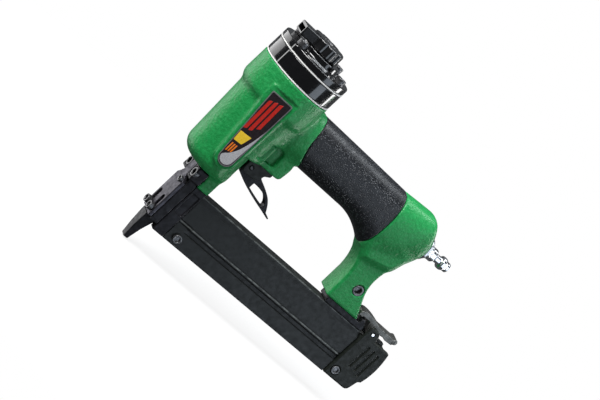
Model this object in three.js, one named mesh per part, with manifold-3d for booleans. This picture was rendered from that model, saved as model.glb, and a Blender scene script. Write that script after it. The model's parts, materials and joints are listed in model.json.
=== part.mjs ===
// Air-powered narrow-crown staple gun: a die-cast body with a rubber grip, a two-stage cylinder cap,
// a steel nose and a drawer magazine that slides out to the rear.
// Millimetres. X runs rearward, Y to the tool's right and Z up the cylinder. The shapes are drawn round
// the cylinder's axis. The finished group is shifted by DRIVER_LEAD, so that its origin is where the
// driver blade's line meets the work face of the nose.

import * as THREE from 'three';
import { mergeVertices } from 'three/addons/utils/BufferGeometryUtils.js';
import Module from 'manifold-3d';

const wasm = await Module();
wasm.setup();

// ---- Driving dimensions -------------------------------------------------------------------------

const GAP = 0.3;                  // space left between two pieces that touch
const HALF_TURN = Math.PI;
const QUARTER = Math.PI / 2;

const BODY_RADIUS = [25.8, 28.5];  // barrel of the casting, low down and under the collar
const COLLAR_RADIUS = 32.3;       // its wider top, under the cap
const BACK_RADIUS = 19.4;         // low down, the barrel's back is drawn in to clear the trigger
const BODY_BOTTOM = 81;
const BODY_TOP = 176.5;
const BODY_BORE = 23.5;
const SEAT_BORE = 17.4;           // narrower bore that holds the sleeve's foot
const SEAT_TOP = 118;
const BODY_FLOOR = 88;            // top of the floor under the cylinder sleeve
const HOUSING_BOTTOM = 111.5;     // underside of the trigger valve's housing

const GASKET = 1;                 // thickness of each cap gasket
const GASKET_GAP = 0.25;
const CAP_RADIUS = 32;
const CAP_BORE = 25;
const CAP_RING_BOTTOM = BODY_TOP + GASKET + 2 * GASKET_GAP;
const CAP_RING_TOP = 190.9;
const CAP_COVER_BOTTOM = CAP_RING_TOP + GASKET + 2 * GASKET_GAP;
const FLANGE_TOP = 197.7;         // the cover's flange, where the cap bolts' heads rest
const BOSS_RADIUS = 17.4;           // round step on the cover under the exhaust hood
const BOSS_TOP = 202.7;
const HOOD_X = -2;                // the exhaust hood turns about a line just ahead of the cylinder's axis
const HOOD_RADIUS = 14.7;
const HOOD_TOP = 212.3;
const HOOD_FACETS = 16;
const SPOUT_END = -28;            // open end of the hood's outlet
const BOLT_HEAD = [4.2, 4.7];     // radius and height of the cap bolts' heads
const BOLT_CIRCLE = 27.5;
const BOLT_ANGLES = { front_left: -150, rear_left: -60, rear_right: 30, front_right: 120 };
const BOLT_HOLE = 2.8;
const BOLT_LENGTH = 44;

const SLEEVE_RADIUS = 16.6;
const SLEEVE_BORE = 14.8;
const SLEEVE_TOP = 172.5;
const PISTON_BOTTOM = 158;        // piston's skirt at rest, at the top of its stroke
const BLADE_BOTTOM = 59;          // blade's lower end at rest, just above the staples
const BLADE_HALF = [0.4, 2.5];    // half thickness along X and half width along Y
const DRIVER_LEAD = 3;            // the blade runs this far ahead of the cylinder's axis
const BLADE_X = -DRIVER_LEAD;

const HANDLE_HALF = 18;           // half width of the grip
const HANDLE_TOP = 170.5;
const HANDLE_BOTTOM = 127.5;      // level underside, as far back as FLARE_START
const FLARE_START = 100;          // from here the underside curves down towards the arm
const FLARE_DROP = 12;            // how far it is down at the grip's rear end
const GRIP_REAR = 135.5;
const GRIP_WALL = 2.5;
const RESERVOIR_INSET = 6.5;      // wall of the hollow handle, with the grip on it
const PASSAGE_HEIGHT = 147;
const INLET_FACE = 181;           // flat at the arm's rear that the end bush sits on

const ARM_HALF = 11;
const ARM_BOTTOM = 69.5;
const ARM_SCREW = [165.4, 88.5];

const NOSE_HALF = 10;
const PLATE_FRONT = -7.4;
const PLATE_REAR = -4;
const NOSE_REAR = 3.6;
const TIP_TOP = 26;               // the tapered tip ends and the driver guide starts
const SLOT_HALF = [0.65, 2.8];    // driver slot's half size along X and Y
const LOWER_SCREWS = { z: 32, y: 5.5 };
const UPPER_SCREWS = { z: 74.5, y: 9.6 };
const SMALL_SCREW = [-6.4, 63];   // Y and Z of the nose plate's own screw

const MAGAZINE_BOTTOM = 20;
const MAGAZINE_TOP = 64;
const HEAD_REAR = 15;             // magazine head block's rear face
const HOUSING_REAR = 198.5;
const STRIP_TOP = 57.6;
const HEAD_SCREW = [24.5, 26.5];
const PUSHER_FRONT = 96;
const PUSHER_REAR = 118;
const ROD_LINE = [4, 45];         // pusher rod's Y and Z

const COVER_HALF = 11;
const COVER_REAR = 232;           // furthest point of its rounded back
const COVER_SCREW = [205.3, 28];
const LATCH_PIVOT = [204.6, 69.5];
const TRIGGER_PIVOT = [24.5, 105];
const VALVE_X = 34;

// ---- Materials ----------------------------------------------------------------------------------

const finish = (color, roughness, metalness) =>
  new THREE.MeshStandardMaterial({ color, roughness, metalness });

const greenPaint = finish(0x268c4b, 0.45, 0.1);
const blackGloss = finish(0x101114, 0.2, 0.1);
const blackSatin = finish(0x1e2221, 0.4, 0.5);
const blackPlastic = finish(0x2a2e2a, 0.5, 0);
const blackSteel = finish(0x1b1c1f, 0.35, 0.8);
const greySteel = finish(0x96929f, 0.3, 0.9);
const brightSteel = finish(0xc8c9cc, 0.18, 1);
const bareAluminium = finish(0xb4b8ba, 0.35, 0.9);
const rubber = finish(0x1c2026, 0.8, 0);
const nitrile = finish(0x17181a, 0.7, 0);
const sealWhite = finish(0xe6e6e2, 0.4, 0);
const plateInk = finish(0x2a2326, 0.35, 0.4);

// ---- Geometry helpers ---------------------------------------------------------------------------

// Closed solid from a geometry: corners merged, empty triangles dropped, faces turned outward.
function solid(geometry) {
  const bare = new THREE.BufferGeometry();
  bare.setAttribute('position', geometry.getAttribute('position'));
  bare.setIndex(geometry.index);
  const merged = mergeVertices(bare, 1e-4);
  const corners = merged.index.array;
  const place = merged.getAttribute('position');
  const [a, b, c] = [new THREE.Vector3(), new THREE.Vector3(), new THREE.Vector3()];
  const triangles = [];
  let volume = 0;
  for (let i = 0; i < corners.length; i += 3) {
    const [p, q, r] = [corners[i], corners[i + 1], corners[i + 2]];
    if (p === q || q === r || r === p) continue;
    triangles.push(p, q, r);
    a.fromBufferAttribute(place, p);
    b.fromBufferAttribute(place, q);
    c.fromBufferAttribute(place, r);
    volume += a.dot(b.cross(c));
  }
  if (volume < 0) triangles.reverse();
  const vertProperties = new Float32Array(place.array);
  const triVerts = new Uint32Array(triangles);
  return new wasm.Manifold(new wasm.Mesh({ numProp: 3, vertProperties, triVerts }));
}

// Geometry of a solid, ready for a mesh.
function geometryOf(shape) {
  const { vertProperties, triVerts } = shape.getMesh();
  const geometry = new THREE.BufferGeometry();
  geometry.setAttribute('position', new THREE.BufferAttribute(new Float32Array(vertProperties), 3));
  geometry.setIndex(new THREE.BufferAttribute(new Uint32Array(triVerts), 1));
  geometry.computeVertexNormals();
  return geometry;
}

const join = (first, ...others) => others.reduce((sum, shape) => sum.add(shape), first);
const cut = (first, ...others) => others.reduce((rest, shape) => rest.subtract(shape), first);

// Box between two corners.
function block([x0, y0, z0], [x1, y1, z1]) {
  const box = new THREE.BoxGeometry(x1 - x0, y1 - y0, z1 - z0);
  return solid(box.translate((x0 + x1) / 2, (y0 + y1) / 2, (z0 + z1) / 2));
}

// Box with equal reach to the left and right of the middle plane.
const centred = (x0, x1, half, z0, z1) => block([x0, -half, z0], [x1, half, z1]);

// Round bar from one point to another.
function rod(radius, from, to, sides = 14) {
  const start = new THREE.Vector3(...from);
  const span = new THREE.Vector3(...to).sub(start);
  const bar = new THREE.CylinderGeometry(radius, radius, span.length(), sides);
  const turn = new THREE.Quaternion();
  turn.setFromUnitVectors(new THREE.Vector3(0, 1, 0), span.clone().normalize());
  bar.applyQuaternion(turn);
  const middle = start.addScaledVector(span, 0.5);
  return solid(bar.translate(middle.x, middle.y, middle.z));
}

// Solid of revolution about Z through (x, y): the outline is [radius, z] points or a Path.
function turned(outline, { x = 0, y = 0, sides = 32, steps = 4 } = {}) {
  const points = Array.isArray(outline)
    ? outline.map(([r, z]) => new THREE.Vector2(r, z))
    : outline.getPoints(steps);
  const lathe = new THREE.LatheGeometry(points, sides);
  lathe.rotateX(QUARTER);
  return solid(lathe.translate(x, y, 0));
}

// Round hole or bar about the cylinder's axis.
const bore = (radius, bottom, top) => rod(radius, [0, 0, bottom], [0, 0, top], 32);

// Ring about Z, its outline closed on itself.
const ring = (inner, outer, bottom, top, options) => turned(
  [[inner, bottom], [outer, bottom], [outer, top], [inner, top], [inner, bottom]], options);

const shapeOf = points => new THREE.Shape(points.map(([u, v]) => new THREE.Vector2(u, v)));

// Side view outline (X, Z) given thickness to both sides of the middle plane.
function sideCut(shape, half, steps = 5, offset = 0) {
  const depth = 2 * half;
  const slab = new THREE.ExtrudeGeometry(shape, { depth, bevelEnabled: false, curveSegments: steps });
  slab.rotateX(QUARTER);
  return solid(slab.translate(0, half + offset, 0));
}

// Front view outline (Y, Z) run along X.
function lengthCut(shape, from, to, steps = 5) {
  const depth = to - from;
  const bar = new THREE.ExtrudeGeometry(shape, { depth, bevelEnabled: false, curveSegments: steps });
  const turn = new THREE.Matrix4().makeBasis(
    new THREE.Vector3(0, 1, 0), new THREE.Vector3(0, 0, 1), new THREE.Vector3(1, 0, 0));
  return solid(bar.applyMatrix4(turn).translate(from, 0, 0));
}

// Skin through upright ovals that stand across X. Each has x, top, bottom and half, its half width.
function ovals(sections, sides = 24, power = 2.3) {
  const points = [];
  const faces = [];
  const bend = value => Math.sign(value) * Math.abs(value) ** (2 / power);
  for (const { x, top, bottom, half } of sections) {
    for (let i = 0; i < sides; i += 1) {
      const angle = (2 * HALF_TURN * i) / sides;
      const rise = (top - bottom) / 2;
      points.push(x, half * bend(Math.cos(angle)), bottom + rise + rise * bend(Math.sin(angle)));
    }
  }
  const last = sections.length - 1;
  for (let s = 0; s < last; s += 1) {
    for (let i = 0; i < sides; i += 1) {
      const [here, next] = [s * sides + i, s * sides + ((i + 1) % sides)];
      faces.push(here, next, next + sides, here, next + sides, here + sides);
    }
  }
  for (const [index, flip] of [[0, true], [last, false]]) {
    const { x, top, bottom } = sections[index];
    const middle = points.length / 3;
    points.push(x, 0, (top + bottom) / 2);
    for (let i = 0; i < sides; i += 1) {
      const [here, next] = [index * sides + i, index * sides + ((i + 1) % sides)];
      faces.push(middle, ...(flip ? [next, here] : [here, next]));
    }
  }
  const skin = new THREE.BufferGeometry();
  skin.setAttribute('position', new THREE.Float32BufferAttribute(points, 3));
  skin.setIndex(faces);
  return solid(skin);
}

// Round wire wound into a coil along Z, from z = 0 to its length.
class Coil extends THREE.Curve {
  constructor(radius, length, turns) {
    super();
    Object.assign(this, { radius, length, turns });
  }

  getPoint(t, target = new THREE.Vector3()) {
    const angle = 2 * HALF_TURN * this.turns * t;
    return target.set(this.radius * Math.cos(angle), this.radius * Math.sin(angle), this.length * t);
  }
}

function spring(radius, length, turns, wire, stepsPerTurn = 10) {
  const section = new THREE.Shape();
  section.absarc(0, 0, wire, 0, 2 * HALF_TURN);
  const path = new Coil(radius, length, turns);
  const options = { steps: turns * stepsPerTurn, extrudePath: path, curveSegments: 2 };
  return solid(new THREE.ExtrudeGeometry(section, options));
}

// Six-sided bar along Z, its size measured across the flats.
function hexagon(acrossFlats, bottom, top) {
  const corner = acrossFlats / Math.sqrt(3);
  const bar = new THREE.CylinderGeometry(corner, corner, top - bottom, 6);
  bar.rotateX(QUARTER);
  return solid(bar.translate(0, 0, (bottom + top) / 2));
}

// Socket screw with its head's top at the origin and its shank down -Z.
function socketScrew(headRadius, headHeight, shankRadius, length) {
  const edge = headRadius * 0.12;
  const body = turned([[0, 0], [headRadius - edge, 0], [headRadius, -edge], [headRadius, -headHeight],
    [shankRadius, -headHeight], [shankRadius, -length], [0, -length]], { sides: 12 });
  return cut(body, hexagon(headRadius * 1.05, -headHeight * 0.6, 1));
}

// ---- Assembly -----------------------------------------------------------------------------------

const stapleGun = new THREE.Group();

function add(name, shape, material, { at = [0, 0, 0], facing = [0, 0, 1], group = stapleGun } = {}) {
  const mesh = new THREE.Mesh(geometryOf(shape), material);
  mesh.name = name;
  mesh.position.set(...at);
  mesh.quaternion.setFromUnitVectors(new THREE.Vector3(0, 0, 1), new THREE.Vector3(...facing));
  group.add(mesh);
}

const boltPoint = (degrees, z) => {
  const angle = THREE.MathUtils.degToRad(degrees);
  return [BOLT_CIRCLE * Math.cos(angle), BOLT_CIRCLE * Math.sin(angle), z];
};

// Holes for the four cap bolts, between two heights.
const boltHoles = (radius, bottom, top) => Object.values(BOLT_ANGLES).map(
  angle => rod(radius, boltPoint(angle, bottom), boltPoint(angle, top), 10));

// ---- Handle: one skin shared by the casting and the rubber grip ----------------------------------

// Outer oval of the handle at x, drawn in by inset.
function handleOval(x, inset) {
  const flare = Math.max(0, (x - FLARE_START) / (GRIP_REAR - FLARE_START));
  const top = HANDLE_TOP - 0.012 * (x - 40);
  const bottom = HANDLE_BOTTOM - FLARE_DROP * flare ** 2;
  return { x, top: top - inset, bottom: bottom + inset, half: HANDLE_HALF - inset };
}

const handleSpan = (from, to, inset) => {
  const stations = [60, 100, 110, 120, 130, GRIP_REAR].filter(x => x > from && x < to);
  return ovals([from, ...stations, to].map(x => handleOval(x, inset)));
};

// Space ahead of the curved line where the rubber grip starts.
function aheadOfGrip(offset) {
  const line = new THREE.Shape();
  line.moveTo(-60, 60);
  line.lineTo(60 + offset, 60);
  line.lineTo(54.5 + offset, 122);
  line.bezierCurveTo(47 + offset, 134, 38 + offset, 142, 38 + offset, 158);
  line.bezierCurveTo(38 + offset, 164, 39 + offset, 170, 41 + offset, 176);
  line.lineTo(41 + offset, 190);
  line.lineTo(-60, 190);
  return sideCut(line, 60, 6);
}

function rubberGrip() {
  const sleeve = cut(handleSpan(30, GRIP_REAR - GAP, 0), handleSpan(20, GRIP_REAR + 10, GRIP_WALL));
  return cut(sleeve, aheadOfGrip(GAP));
}

// ---- Casting ------------------------------------------------------------------------------------

function barrel() {
  const corner = 12;                      // rounding of its foot
  const flareBottom = 144;                // the collar widens out from here
  const flareTop = 157;
  const [low, high] = BODY_RADIUS;
  const outline = new THREE.Path();
  outline.moveTo(0, BODY_BOTTOM);
  outline.lineTo(low - corner, BODY_BOTTOM);
  outline.absarc(low - corner, BODY_BOTTOM + corner, corner, -QUARTER, 0, false);
  outline.lineTo(high, flareBottom);
  outline.bezierCurveTo(high, 151, COLLAR_RADIUS, 150, COLLAR_RADIUS, flareTop);
  outline.lineTo(COLLAR_RADIUS, BODY_TOP);
  outline.lineTo(0, BODY_TOP);
  const round = turned(outline);
  const side = 27;                        // half width where the drawn-in back starts
  const tangent = Math.asin(BACK_RADIUS / side);
  const section = new THREE.Shape();
  section.moveTo(-60, -side);
  section.lineTo(0, -side);
  section.absarc(0, 0, BACK_RADIUS, -tangent, tangent, false);
  section.lineTo(0, side);
  section.lineTo(-60, side);
  const depth = HOUSING_BOTTOM + GAP - BODY_BOTTOM + 2;
  const drawnIn = new THREE.ExtrudeGeometry(section, { depth, bevelEnabled: false, curveSegments: 6 });
  const lower = solid(drawnIn.translate(0, 0, BODY_BOTTOM - 2));
  return join(round.intersect(lower), cut(round, centred(-60, 60, 60, 60, HOUSING_BOTTOM)));
}

// The name plate faces left and a little forward, and leans back at its foot.
const PLATE_TURN = THREE.MathUtils.degToRad(-15.5);
const PLATE_LEAN = THREE.MathUtils.degToRad(-3);
const PLATE_SEAT = 30.4;                  // the flat pad's distance from the cylinder's axis
const PLATE_MIDDLE = 129.9;

function plateOutline(bottom, top, lowHalf, highHalf) {
  const outline = new THREE.Shape();
  outline.moveTo(highHalf, top);
  outline.lineTo(-highHalf, top);
  outline.lineTo(-lowHalf, bottom + lowHalf);
  outline.absarc(0, bottom + lowHalf, lowHalf, HALF_TURN, 2 * HALF_TURN, false);
  return outline;
}

function flankSlab(outline, from, to) {
  const depth = to - from;
  const slab = new THREE.ExtrudeGeometry(outline, { depth, bevelEnabled: false, curveSegments: 8 });
  slab.rotateX(QUARTER);
  slab.translate(0, -from, -PLATE_MIDDLE);
  slab.rotateY(PLATE_LEAN);
  slab.translate(0, 0, PLATE_MIDDLE);
  return solid(slab.rotateZ(PLATE_TURN));
}

// Block under the handle that holds the trigger valve.
function triggerHousing() {
  const half = 12.5;
  const outline = new THREE.Shape();
  outline.moveTo(6, HOUSING_BOTTOM);
  outline.lineTo(42, HOUSING_BOTTOM);
  outline.quadraticCurveTo(46.5, HOUSING_BOTTOM, 46.5, 116);
  outline.lineTo(47, 124);
  outline.quadraticCurveTo(45, 134, 42, 146);
  outline.lineTo(6, 146);
  return sideCut(outline, half).intersect(aheadOfGrip(0));
}

// Lightening pocket in each flank, where the housing meets the barrel.
function housingPocket(side) {
  const [from, to] = [Math.min(side * 9.4, side * 40), Math.max(side * 9.4, side * 40)];
  return cut(block([12.5, from, 116.3], [34, to, 131.5]), bore(25.4, 110, 140));
}

// Upright round boss that stands in the pocket.
const pocketBoss = side => rod(3.4, [20.3, side * 14.8, 115], [20.3, side * 14.8, 130.5], 20);

// Rounded rear end of the handle and the arm that comes down to the magazine.
function rearArm() {
  const front = GRIP_REAR + GAP;
  const end = handleOval(GRIP_REAR, 0);
  const oval = along => {
    const drawIn = Math.sqrt(1 - (Math.max(0, along - 22) / 34) ** 2);
    const share = Math.min(1, along / 32);
    return {
      x: front + along,
      top: end.top + 3 * share,
      bottom: end.bottom + 13 * share,
      half: HANDLE_HALF * drawIn,
    };
  };
  const rear = shapeOf([[130, 100], [176, 100], [178.5, 120], [181, 135], [181.6, 143], [180, 152],
    [177, 160.5], [172, 169.5], [168, 172.6], [130, 172.6]]);
  const dome = ovals([0, 16, 32, 38, 43, 47].map(oval)).intersect(sideCut(rear, 30));
  const arm = new THREE.Shape();
  arm.moveTo(front, 118);
  arm.quadraticCurveTo(147, 106, 148, 90);
  arm.lineTo(148.5, ARM_BOTTOM);
  arm.lineTo(184.5, ARM_BOTTOM);
  arm.lineTo(175.5, 85);
  arm.quadraticCurveTo(165.5, 100, 172.5, 120);
  arm.lineTo(178, 140);
  arm.lineTo(150, 150);
  arm.lineTo(front, 140);
  const knee = shapeOf([[front, 122], [144, 110], [171.5, 116], [176, 134], [150, 146]]);
  const land = rod(11.4, [160, 0, PASSAGE_HEIGHT], [INLET_FACE, 0, PASSAGE_HEIGHT], 28);
  return join(dome, sideCut(arm, ARM_HALF), sideCut(knee, 14.5), land);
}

function bodyCasting() {
  const leg = centred(3, 14.5, 13, 67, 92);
  const lip = -0.8;                       // the front fairing stands a little proud of the grip
  const fairing = handleSpan(5, 60, lip).intersect(aheadOfGrip(0));
  const core = handleSpan(10, GRIP_REAR + 2, GRIP_WALL + GAP);
  const padOutline = plateOutline(93.4, 166.4, 9, 12.2);
  const pad = flankSlab(padOutline, 15, PLATE_SEAT);
  const padRecess = flankSlab(padOutline, PLATE_SEAT, 40);
  const shell = cut(join(barrel(), pad), padRecess);
  const front = cut(join(shell, fairing, triggerHousing()), housingPocket(1), housingPocket(-1));
  const outside = join(front, pocketBoss(1), pocketBoss(-1), core, leg, rearArm());
  const [screwX, screwZ] = ARM_SCREW;
  const upperTap = side => rod(2.8, [-1, side * UPPER_SCREWS.y, UPPER_SCREWS.z],
    [13, side * UPPER_SCREWS.y, UPPER_SCREWS.z], 16);
  return cut(outside,
    bore(BODY_BORE, SEAT_TOP, BODY_TOP + 5),
    bore(SEAT_BORE, BODY_FLOOR, SEAT_TOP + 1),
    bore(6, BODY_BOTTOM - 5, BODY_FLOOR + 1),
    handleSpan(15, 157, RESERVOIR_INSET),
    rod(10.5, [155, 0, PASSAGE_HEIGHT], [169, 0, PASSAGE_HEIGHT], 24),
    rod(8, [168, 0, PASSAGE_HEIGHT], [190, 0, PASSAGE_HEIGHT], 24),
    block([INLET_FACE, -30, 130], [200, 30, 165]),
    rod(6.8, [VALVE_X, 0, 110], [VALVE_X, 0, 140], 20),
    ...boltHoles(BOLT_HOLE, 158, BODY_TOP + 2),
    upperTap(1),
    upperTap(-1),
    centred(155.5, 170.4, 3.3, 60, 93.8),
    rod(2.8, [screwX, -14, screwZ], [screwX, 14, screwZ], 16),
    rod(5, [screwX, -14, screwZ], [screwX, -6.2, screwZ], 20),
    rod(5.2, [screwX, 6.6, screwZ], [screwX, 14, screwZ], 6));
}

add('body_casting', bodyCasting(), greenPaint);
add('rubber_grip', rubberGrip(), rubber);

// ---- Cap, exhaust and head valve ----------------------------------------------------------------

// Raised upright bead on the cap's side that lines its two halves up.
const capBead = (bottom, top) => {
  const angle = THREE.MathUtils.degToRad(BOLT_ANGLES.front_left);
  const [x, y] = [(CAP_RADIUS - 0.6) * Math.cos(angle), (CAP_RADIUS - 0.6) * Math.sin(angle)];
  return rod(1.5, [x, y, bottom], [x, y, top], 10);
};

function cylinderCap() {
  const body = join(ring(CAP_BORE, CAP_RADIUS, CAP_RING_BOTTOM, CAP_RING_TOP, { sides: 36 }),
    capBead(CAP_RING_BOTTOM, CAP_RING_TOP));
  return cut(body, bore(CAP_BORE, CAP_RING_BOTTOM - 2, CAP_RING_TOP + 2),
    ...boltHoles(BOLT_HOLE, CAP_RING_BOTTOM - 2, CAP_RING_TOP + 2));
}

// Bolted flange with a round step in its middle, and ports up into the exhaust hood.
function capCover() {
  const edge = 1;
  const disc = turned([[0, CAP_COVER_BOTTOM], [CAP_RADIUS, CAP_COVER_BOTTOM],
    [CAP_RADIUS, FLANGE_TOP - edge], [CAP_RADIUS - edge, FLANGE_TOP], [BOSS_RADIUS, FLANGE_TOP],
    [BOSS_RADIUS, BOSS_TOP], [0, BOSS_TOP]], { sides: 36 });
  const ports = [45, 135, 225, 315].map(degrees => {
    const angle = THREE.MathUtils.degToRad(degrees);
    const [x, y] = [9 * Math.cos(angle), 9 * Math.sin(angle)];
    return rod(2.4, [x, y, CAP_COVER_BOTTOM], [x, y, BOSS_TOP + 2], 12);
  });
  return cut(join(disc, capBead(CAP_COVER_BOTTOM, FLANGE_TOP - edge)), ...ports,
    bore(CAP_BORE - 1, CAP_COVER_BOTTOM - 2, CAP_COVER_BOTTOM + 2.8),
    rod(2.8, [HOOD_X, 0, CAP_COVER_BOTTOM], [HOOD_X, 0, BOSS_TOP + 2], 16),
    ...boltHoles(BOLT_HOLE, CAP_COVER_BOTTOM - 2, FLANGE_TOP + 2));
}

const capGasket = bottom => cut(
  ring(CAP_BORE + 0.3, CAP_RADIUS + 0.2, bottom, bottom + GASKET, { sides: 36 }),
  ...boltHoles(BOLT_HOLE - 0.1, bottom - 1, bottom + GASKET + 1));

// Turning exhaust hood: a faceted round chamber with one outlet that points forward. It is drawn
// about its own turning line.
function exhaustDeflector() {
  const bottom = BOSS_TOP + GAP;
  const ceiling = HOOD_TOP - 3.5;
  const wall = 1.8;
  const spoutHalf = 7;
  const spoutEnd = SPOUT_END - HOOD_X;
  const facets = new THREE.CylinderGeometry(HOOD_RADIUS, HOOD_RADIUS, HOOD_TOP - bottom, HOOD_FACETS);
  facets.rotateX(QUARTER);
  const chamber = solid(facets.translate(0, 0, (HOOD_TOP + bottom) / 2));
  const outlet = centred(spoutEnd, 0, spoutHalf, bottom, HOOD_TOP - 1);
  return cut(join(chamber, outlet),
    cut(bore(HOOD_RADIUS - wall, bottom - 1, ceiling), bore(5, bottom - 2, ceiling + 1)),
    centred(spoutEnd - 1, 3 - HOOD_RADIUS, spoutHalf - wall, bottom + wall, ceiling),
    rod(2.8, [0, 0, bottom - 1], [0, 0, HOOD_TOP + 1], 16),
    rod(5.4, [0, 0, ceiling + 0.3], [0, 0, HOOD_TOP + 1], 20));
}

function headValve() {
  return turned([[8, 173], [22.6, 173], [22.6, 178], [24.6, 179], [24.6, 187], [20.5, 187],
    [20.5, 184], [8, 184], [8, 173]]);
}

add('cap_gasket', capGasket(BODY_TOP + GASKET_GAP), sealWhite);
add('cylinder_cap', cylinderCap(), blackGloss);
add('cover_gasket', capGasket(CAP_RING_TOP + GASKET_GAP), sealWhite);
add('cap_cover', capCover(), blackGloss);
for (const [corner, degrees] of Object.entries(BOLT_ANGLES)) {
  add(`cap_bolt_${corner}`, socketScrew(...BOLT_HEAD, 2.5, BOLT_LENGTH), blackSteel,
    { at: boltPoint(degrees, FLANGE_TOP + GAP + BOLT_HEAD[1]) });
}
add('exhaust_deflector', exhaustDeflector(), blackGloss, { at: [HOOD_X, 0, 0] });
add('deflector_screw', socketScrew(4.6, 2.7, 2.5, 14), blackSteel,
  { at: [HOOD_X, 0, HOOD_TOP - 0.2] });
add('head_valve', headValve(), nitrile);
add('head_valve_spring', spring(18.2, 8.8, 3, 0.8, 14), brightSteel, { at: [0, 0, 185.3] });

// ---- Cylinder, piston and driver ----------------------------------------------------------------

function cylinderSleeve() {
  const bottom = BODY_FLOOR + GAP;
  const flange = BODY_BORE - GAP;
  return turned([[SLEEVE_BORE, bottom], [SEAT_BORE - GAP, bottom], [SEAT_BORE - GAP, bottom + 4],
    [SLEEVE_RADIUS, bottom + 4], [SLEEVE_RADIUS, SLEEVE_TOP - 4], [flange, SLEEVE_TOP - 4],
    [flange, SLEEVE_TOP], [SLEEVE_BORE, SLEEVE_TOP], [SLEEVE_BORE, bottom]]);
}

function bumper() {
  const bottom = BODY_FLOOR + 2 * GAP;
  return turned([[6.5, bottom], [14.4, bottom], [14.4, bottom + 5], [12.5, 97], [7.5, 97],
    [6.5, bottom + 5], [6.5, bottom]], { sides: 24 });
}

function piston() {
  const outer = SLEEVE_BORE - GAP;
  const body = turned([[0, PISTON_BOTTOM - 6], [6, PISTON_BOTTOM - 6], [6, PISTON_BOTTOM],
    [outer, PISTON_BOTTOM], [outer, 162.6], [12.3, 162.6], [12.3, 165.8], [outer, 165.8],
    [outer, 170], [8, 170], [6, 166], [0, 166]], { sides: 28 });
  return cut(body, block([BLADE_X - 0.7, -2.8, PISTON_BOTTOM - 8],
    [BLADE_X + 0.7, 2.8, PISTON_BOTTOM + 2.5]));
}

function pistonRing() {
  const seal = new THREE.TorusGeometry(13.55, 1.05, 6, 28);
  return solid(seal.translate(0, 0, 164.2));
}

const [bladeX, bladeY] = BLADE_HALF;

add('cylinder_sleeve', cylinderSleeve(), bareAluminium);
add('bumper', bumper(), nitrile);
add('piston', piston(), bareAluminium);
add('piston_ring', pistonRing(), nitrile);
add('driver_blade', block([BLADE_X - bladeX, -bladeY, BLADE_BOTTOM],
  [BLADE_X + bladeX, bladeY, PISTON_BOTTOM + 2]), brightSteel);

// ---- Name plate on the left flank ---------------------------------------------------------------

// Flat plate, square at the top and round at the narrow bottom, on the casting's flat pad.
const namePlate = () => flankSlab(plateOutline(96.4, 163.4, 6.6, 10), PLATE_SEAT + GAP, PLATE_SEAT + 1.4);

add('name_plate', namePlate(), plateInk);

// ---- Nose ---------------------------------------------------------------------------------------

const [slotX, slotY] = SLOT_HALF;
const FLANGE = { front: -7.4, rear: 2.7, half: 14, bottom: 68, top: 80.5 };

// Four-sided tip that narrows down to the work face.
function noseTip() {
  const sections = [[TIP_TOP, -7.2, NOSE_REAR, 6.2], [12, -6.7, 0.4, 4.6], [0, -5.4, -1.2, 3.5]];
  const points = [];
  for (const [z, front, rear, half] of sections) {
    points.push(front, -half, z, rear, -half, z, rear, half, z, front, half, z);
  }
  const faces = [0, 1, 2, 0, 2, 3, 8, 10, 9, 8, 11, 10];
  for (const level of [0, 4]) {
    for (let i = 0; i < 4; i += 1) {
      const [a, b] = [level + i, level + ((i + 1) % 4)];
      faces.push(a, a + 4, b + 4, a, b + 4, b);
    }
  }
  const tip = new THREE.BufferGeometry();
  tip.setAttribute('position', new THREE.Float32BufferAttribute(points, 3));
  tip.setIndex(faces);
  return solid(tip);
}

function noseBody() {
  const guide = centred(PLATE_REAR + GAP, NOSE_REAR, NOSE_HALF, TIP_TOP - 1, 66.5);
  const flange = centred(FLANGE.front, FLANGE.rear, FLANGE.half, FLANGE.bottom, FLANGE.top);
  const neck = centred(PLATE_REAR + GAP, FLANGE.rear, NOSE_HALF, 66, FLANGE.bottom + 1);
  const screwHole = (y, z, radius, depth) => rod(radius, [-9, y, z], [depth, y, z], 16);
  const holes = [-1, 1].flatMap(side => [
    screwHole(side * LOWER_SCREWS.y, LOWER_SCREWS.z, 2.1, 2.8),
    screwHole(side * UPPER_SCREWS.y, UPPER_SCREWS.z, 2.8, 4),
    screwHole(side * UPPER_SCREWS.y, UPPER_SCREWS.z, 4.4, FLANGE.front + 4.5),
  ]);
  return cut(join(guide, flange, neck, noseTip()),
    block([PLATE_REAR - 0.1, -slotY, TIP_TOP], [BLADE_X + slotX, slotY, FLANGE.top + 1]),
    block([BLADE_X - slotX, -slotY, -1], [BLADE_X + slotX, slotY, TIP_TOP + 1]),
    block([BLADE_X + slotX - 0.1, -3, 33], [NOSE_REAR + 1, 3, 58.6]),
    block([-20, -NOSE_HALF - GAP, TIP_TOP], [PLATE_REAR + GAP, NOSE_HALF + GAP, FLANGE.bottom]),
    block([-20, -5 - GAP, FLANGE.bottom - 1], [PLATE_REAR + GAP, 5 + GAP, FLANGE.top + 1]),
    screwHole(...SMALL_SCREW, 1.7, 1.3),
    ...holes);
}

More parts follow.
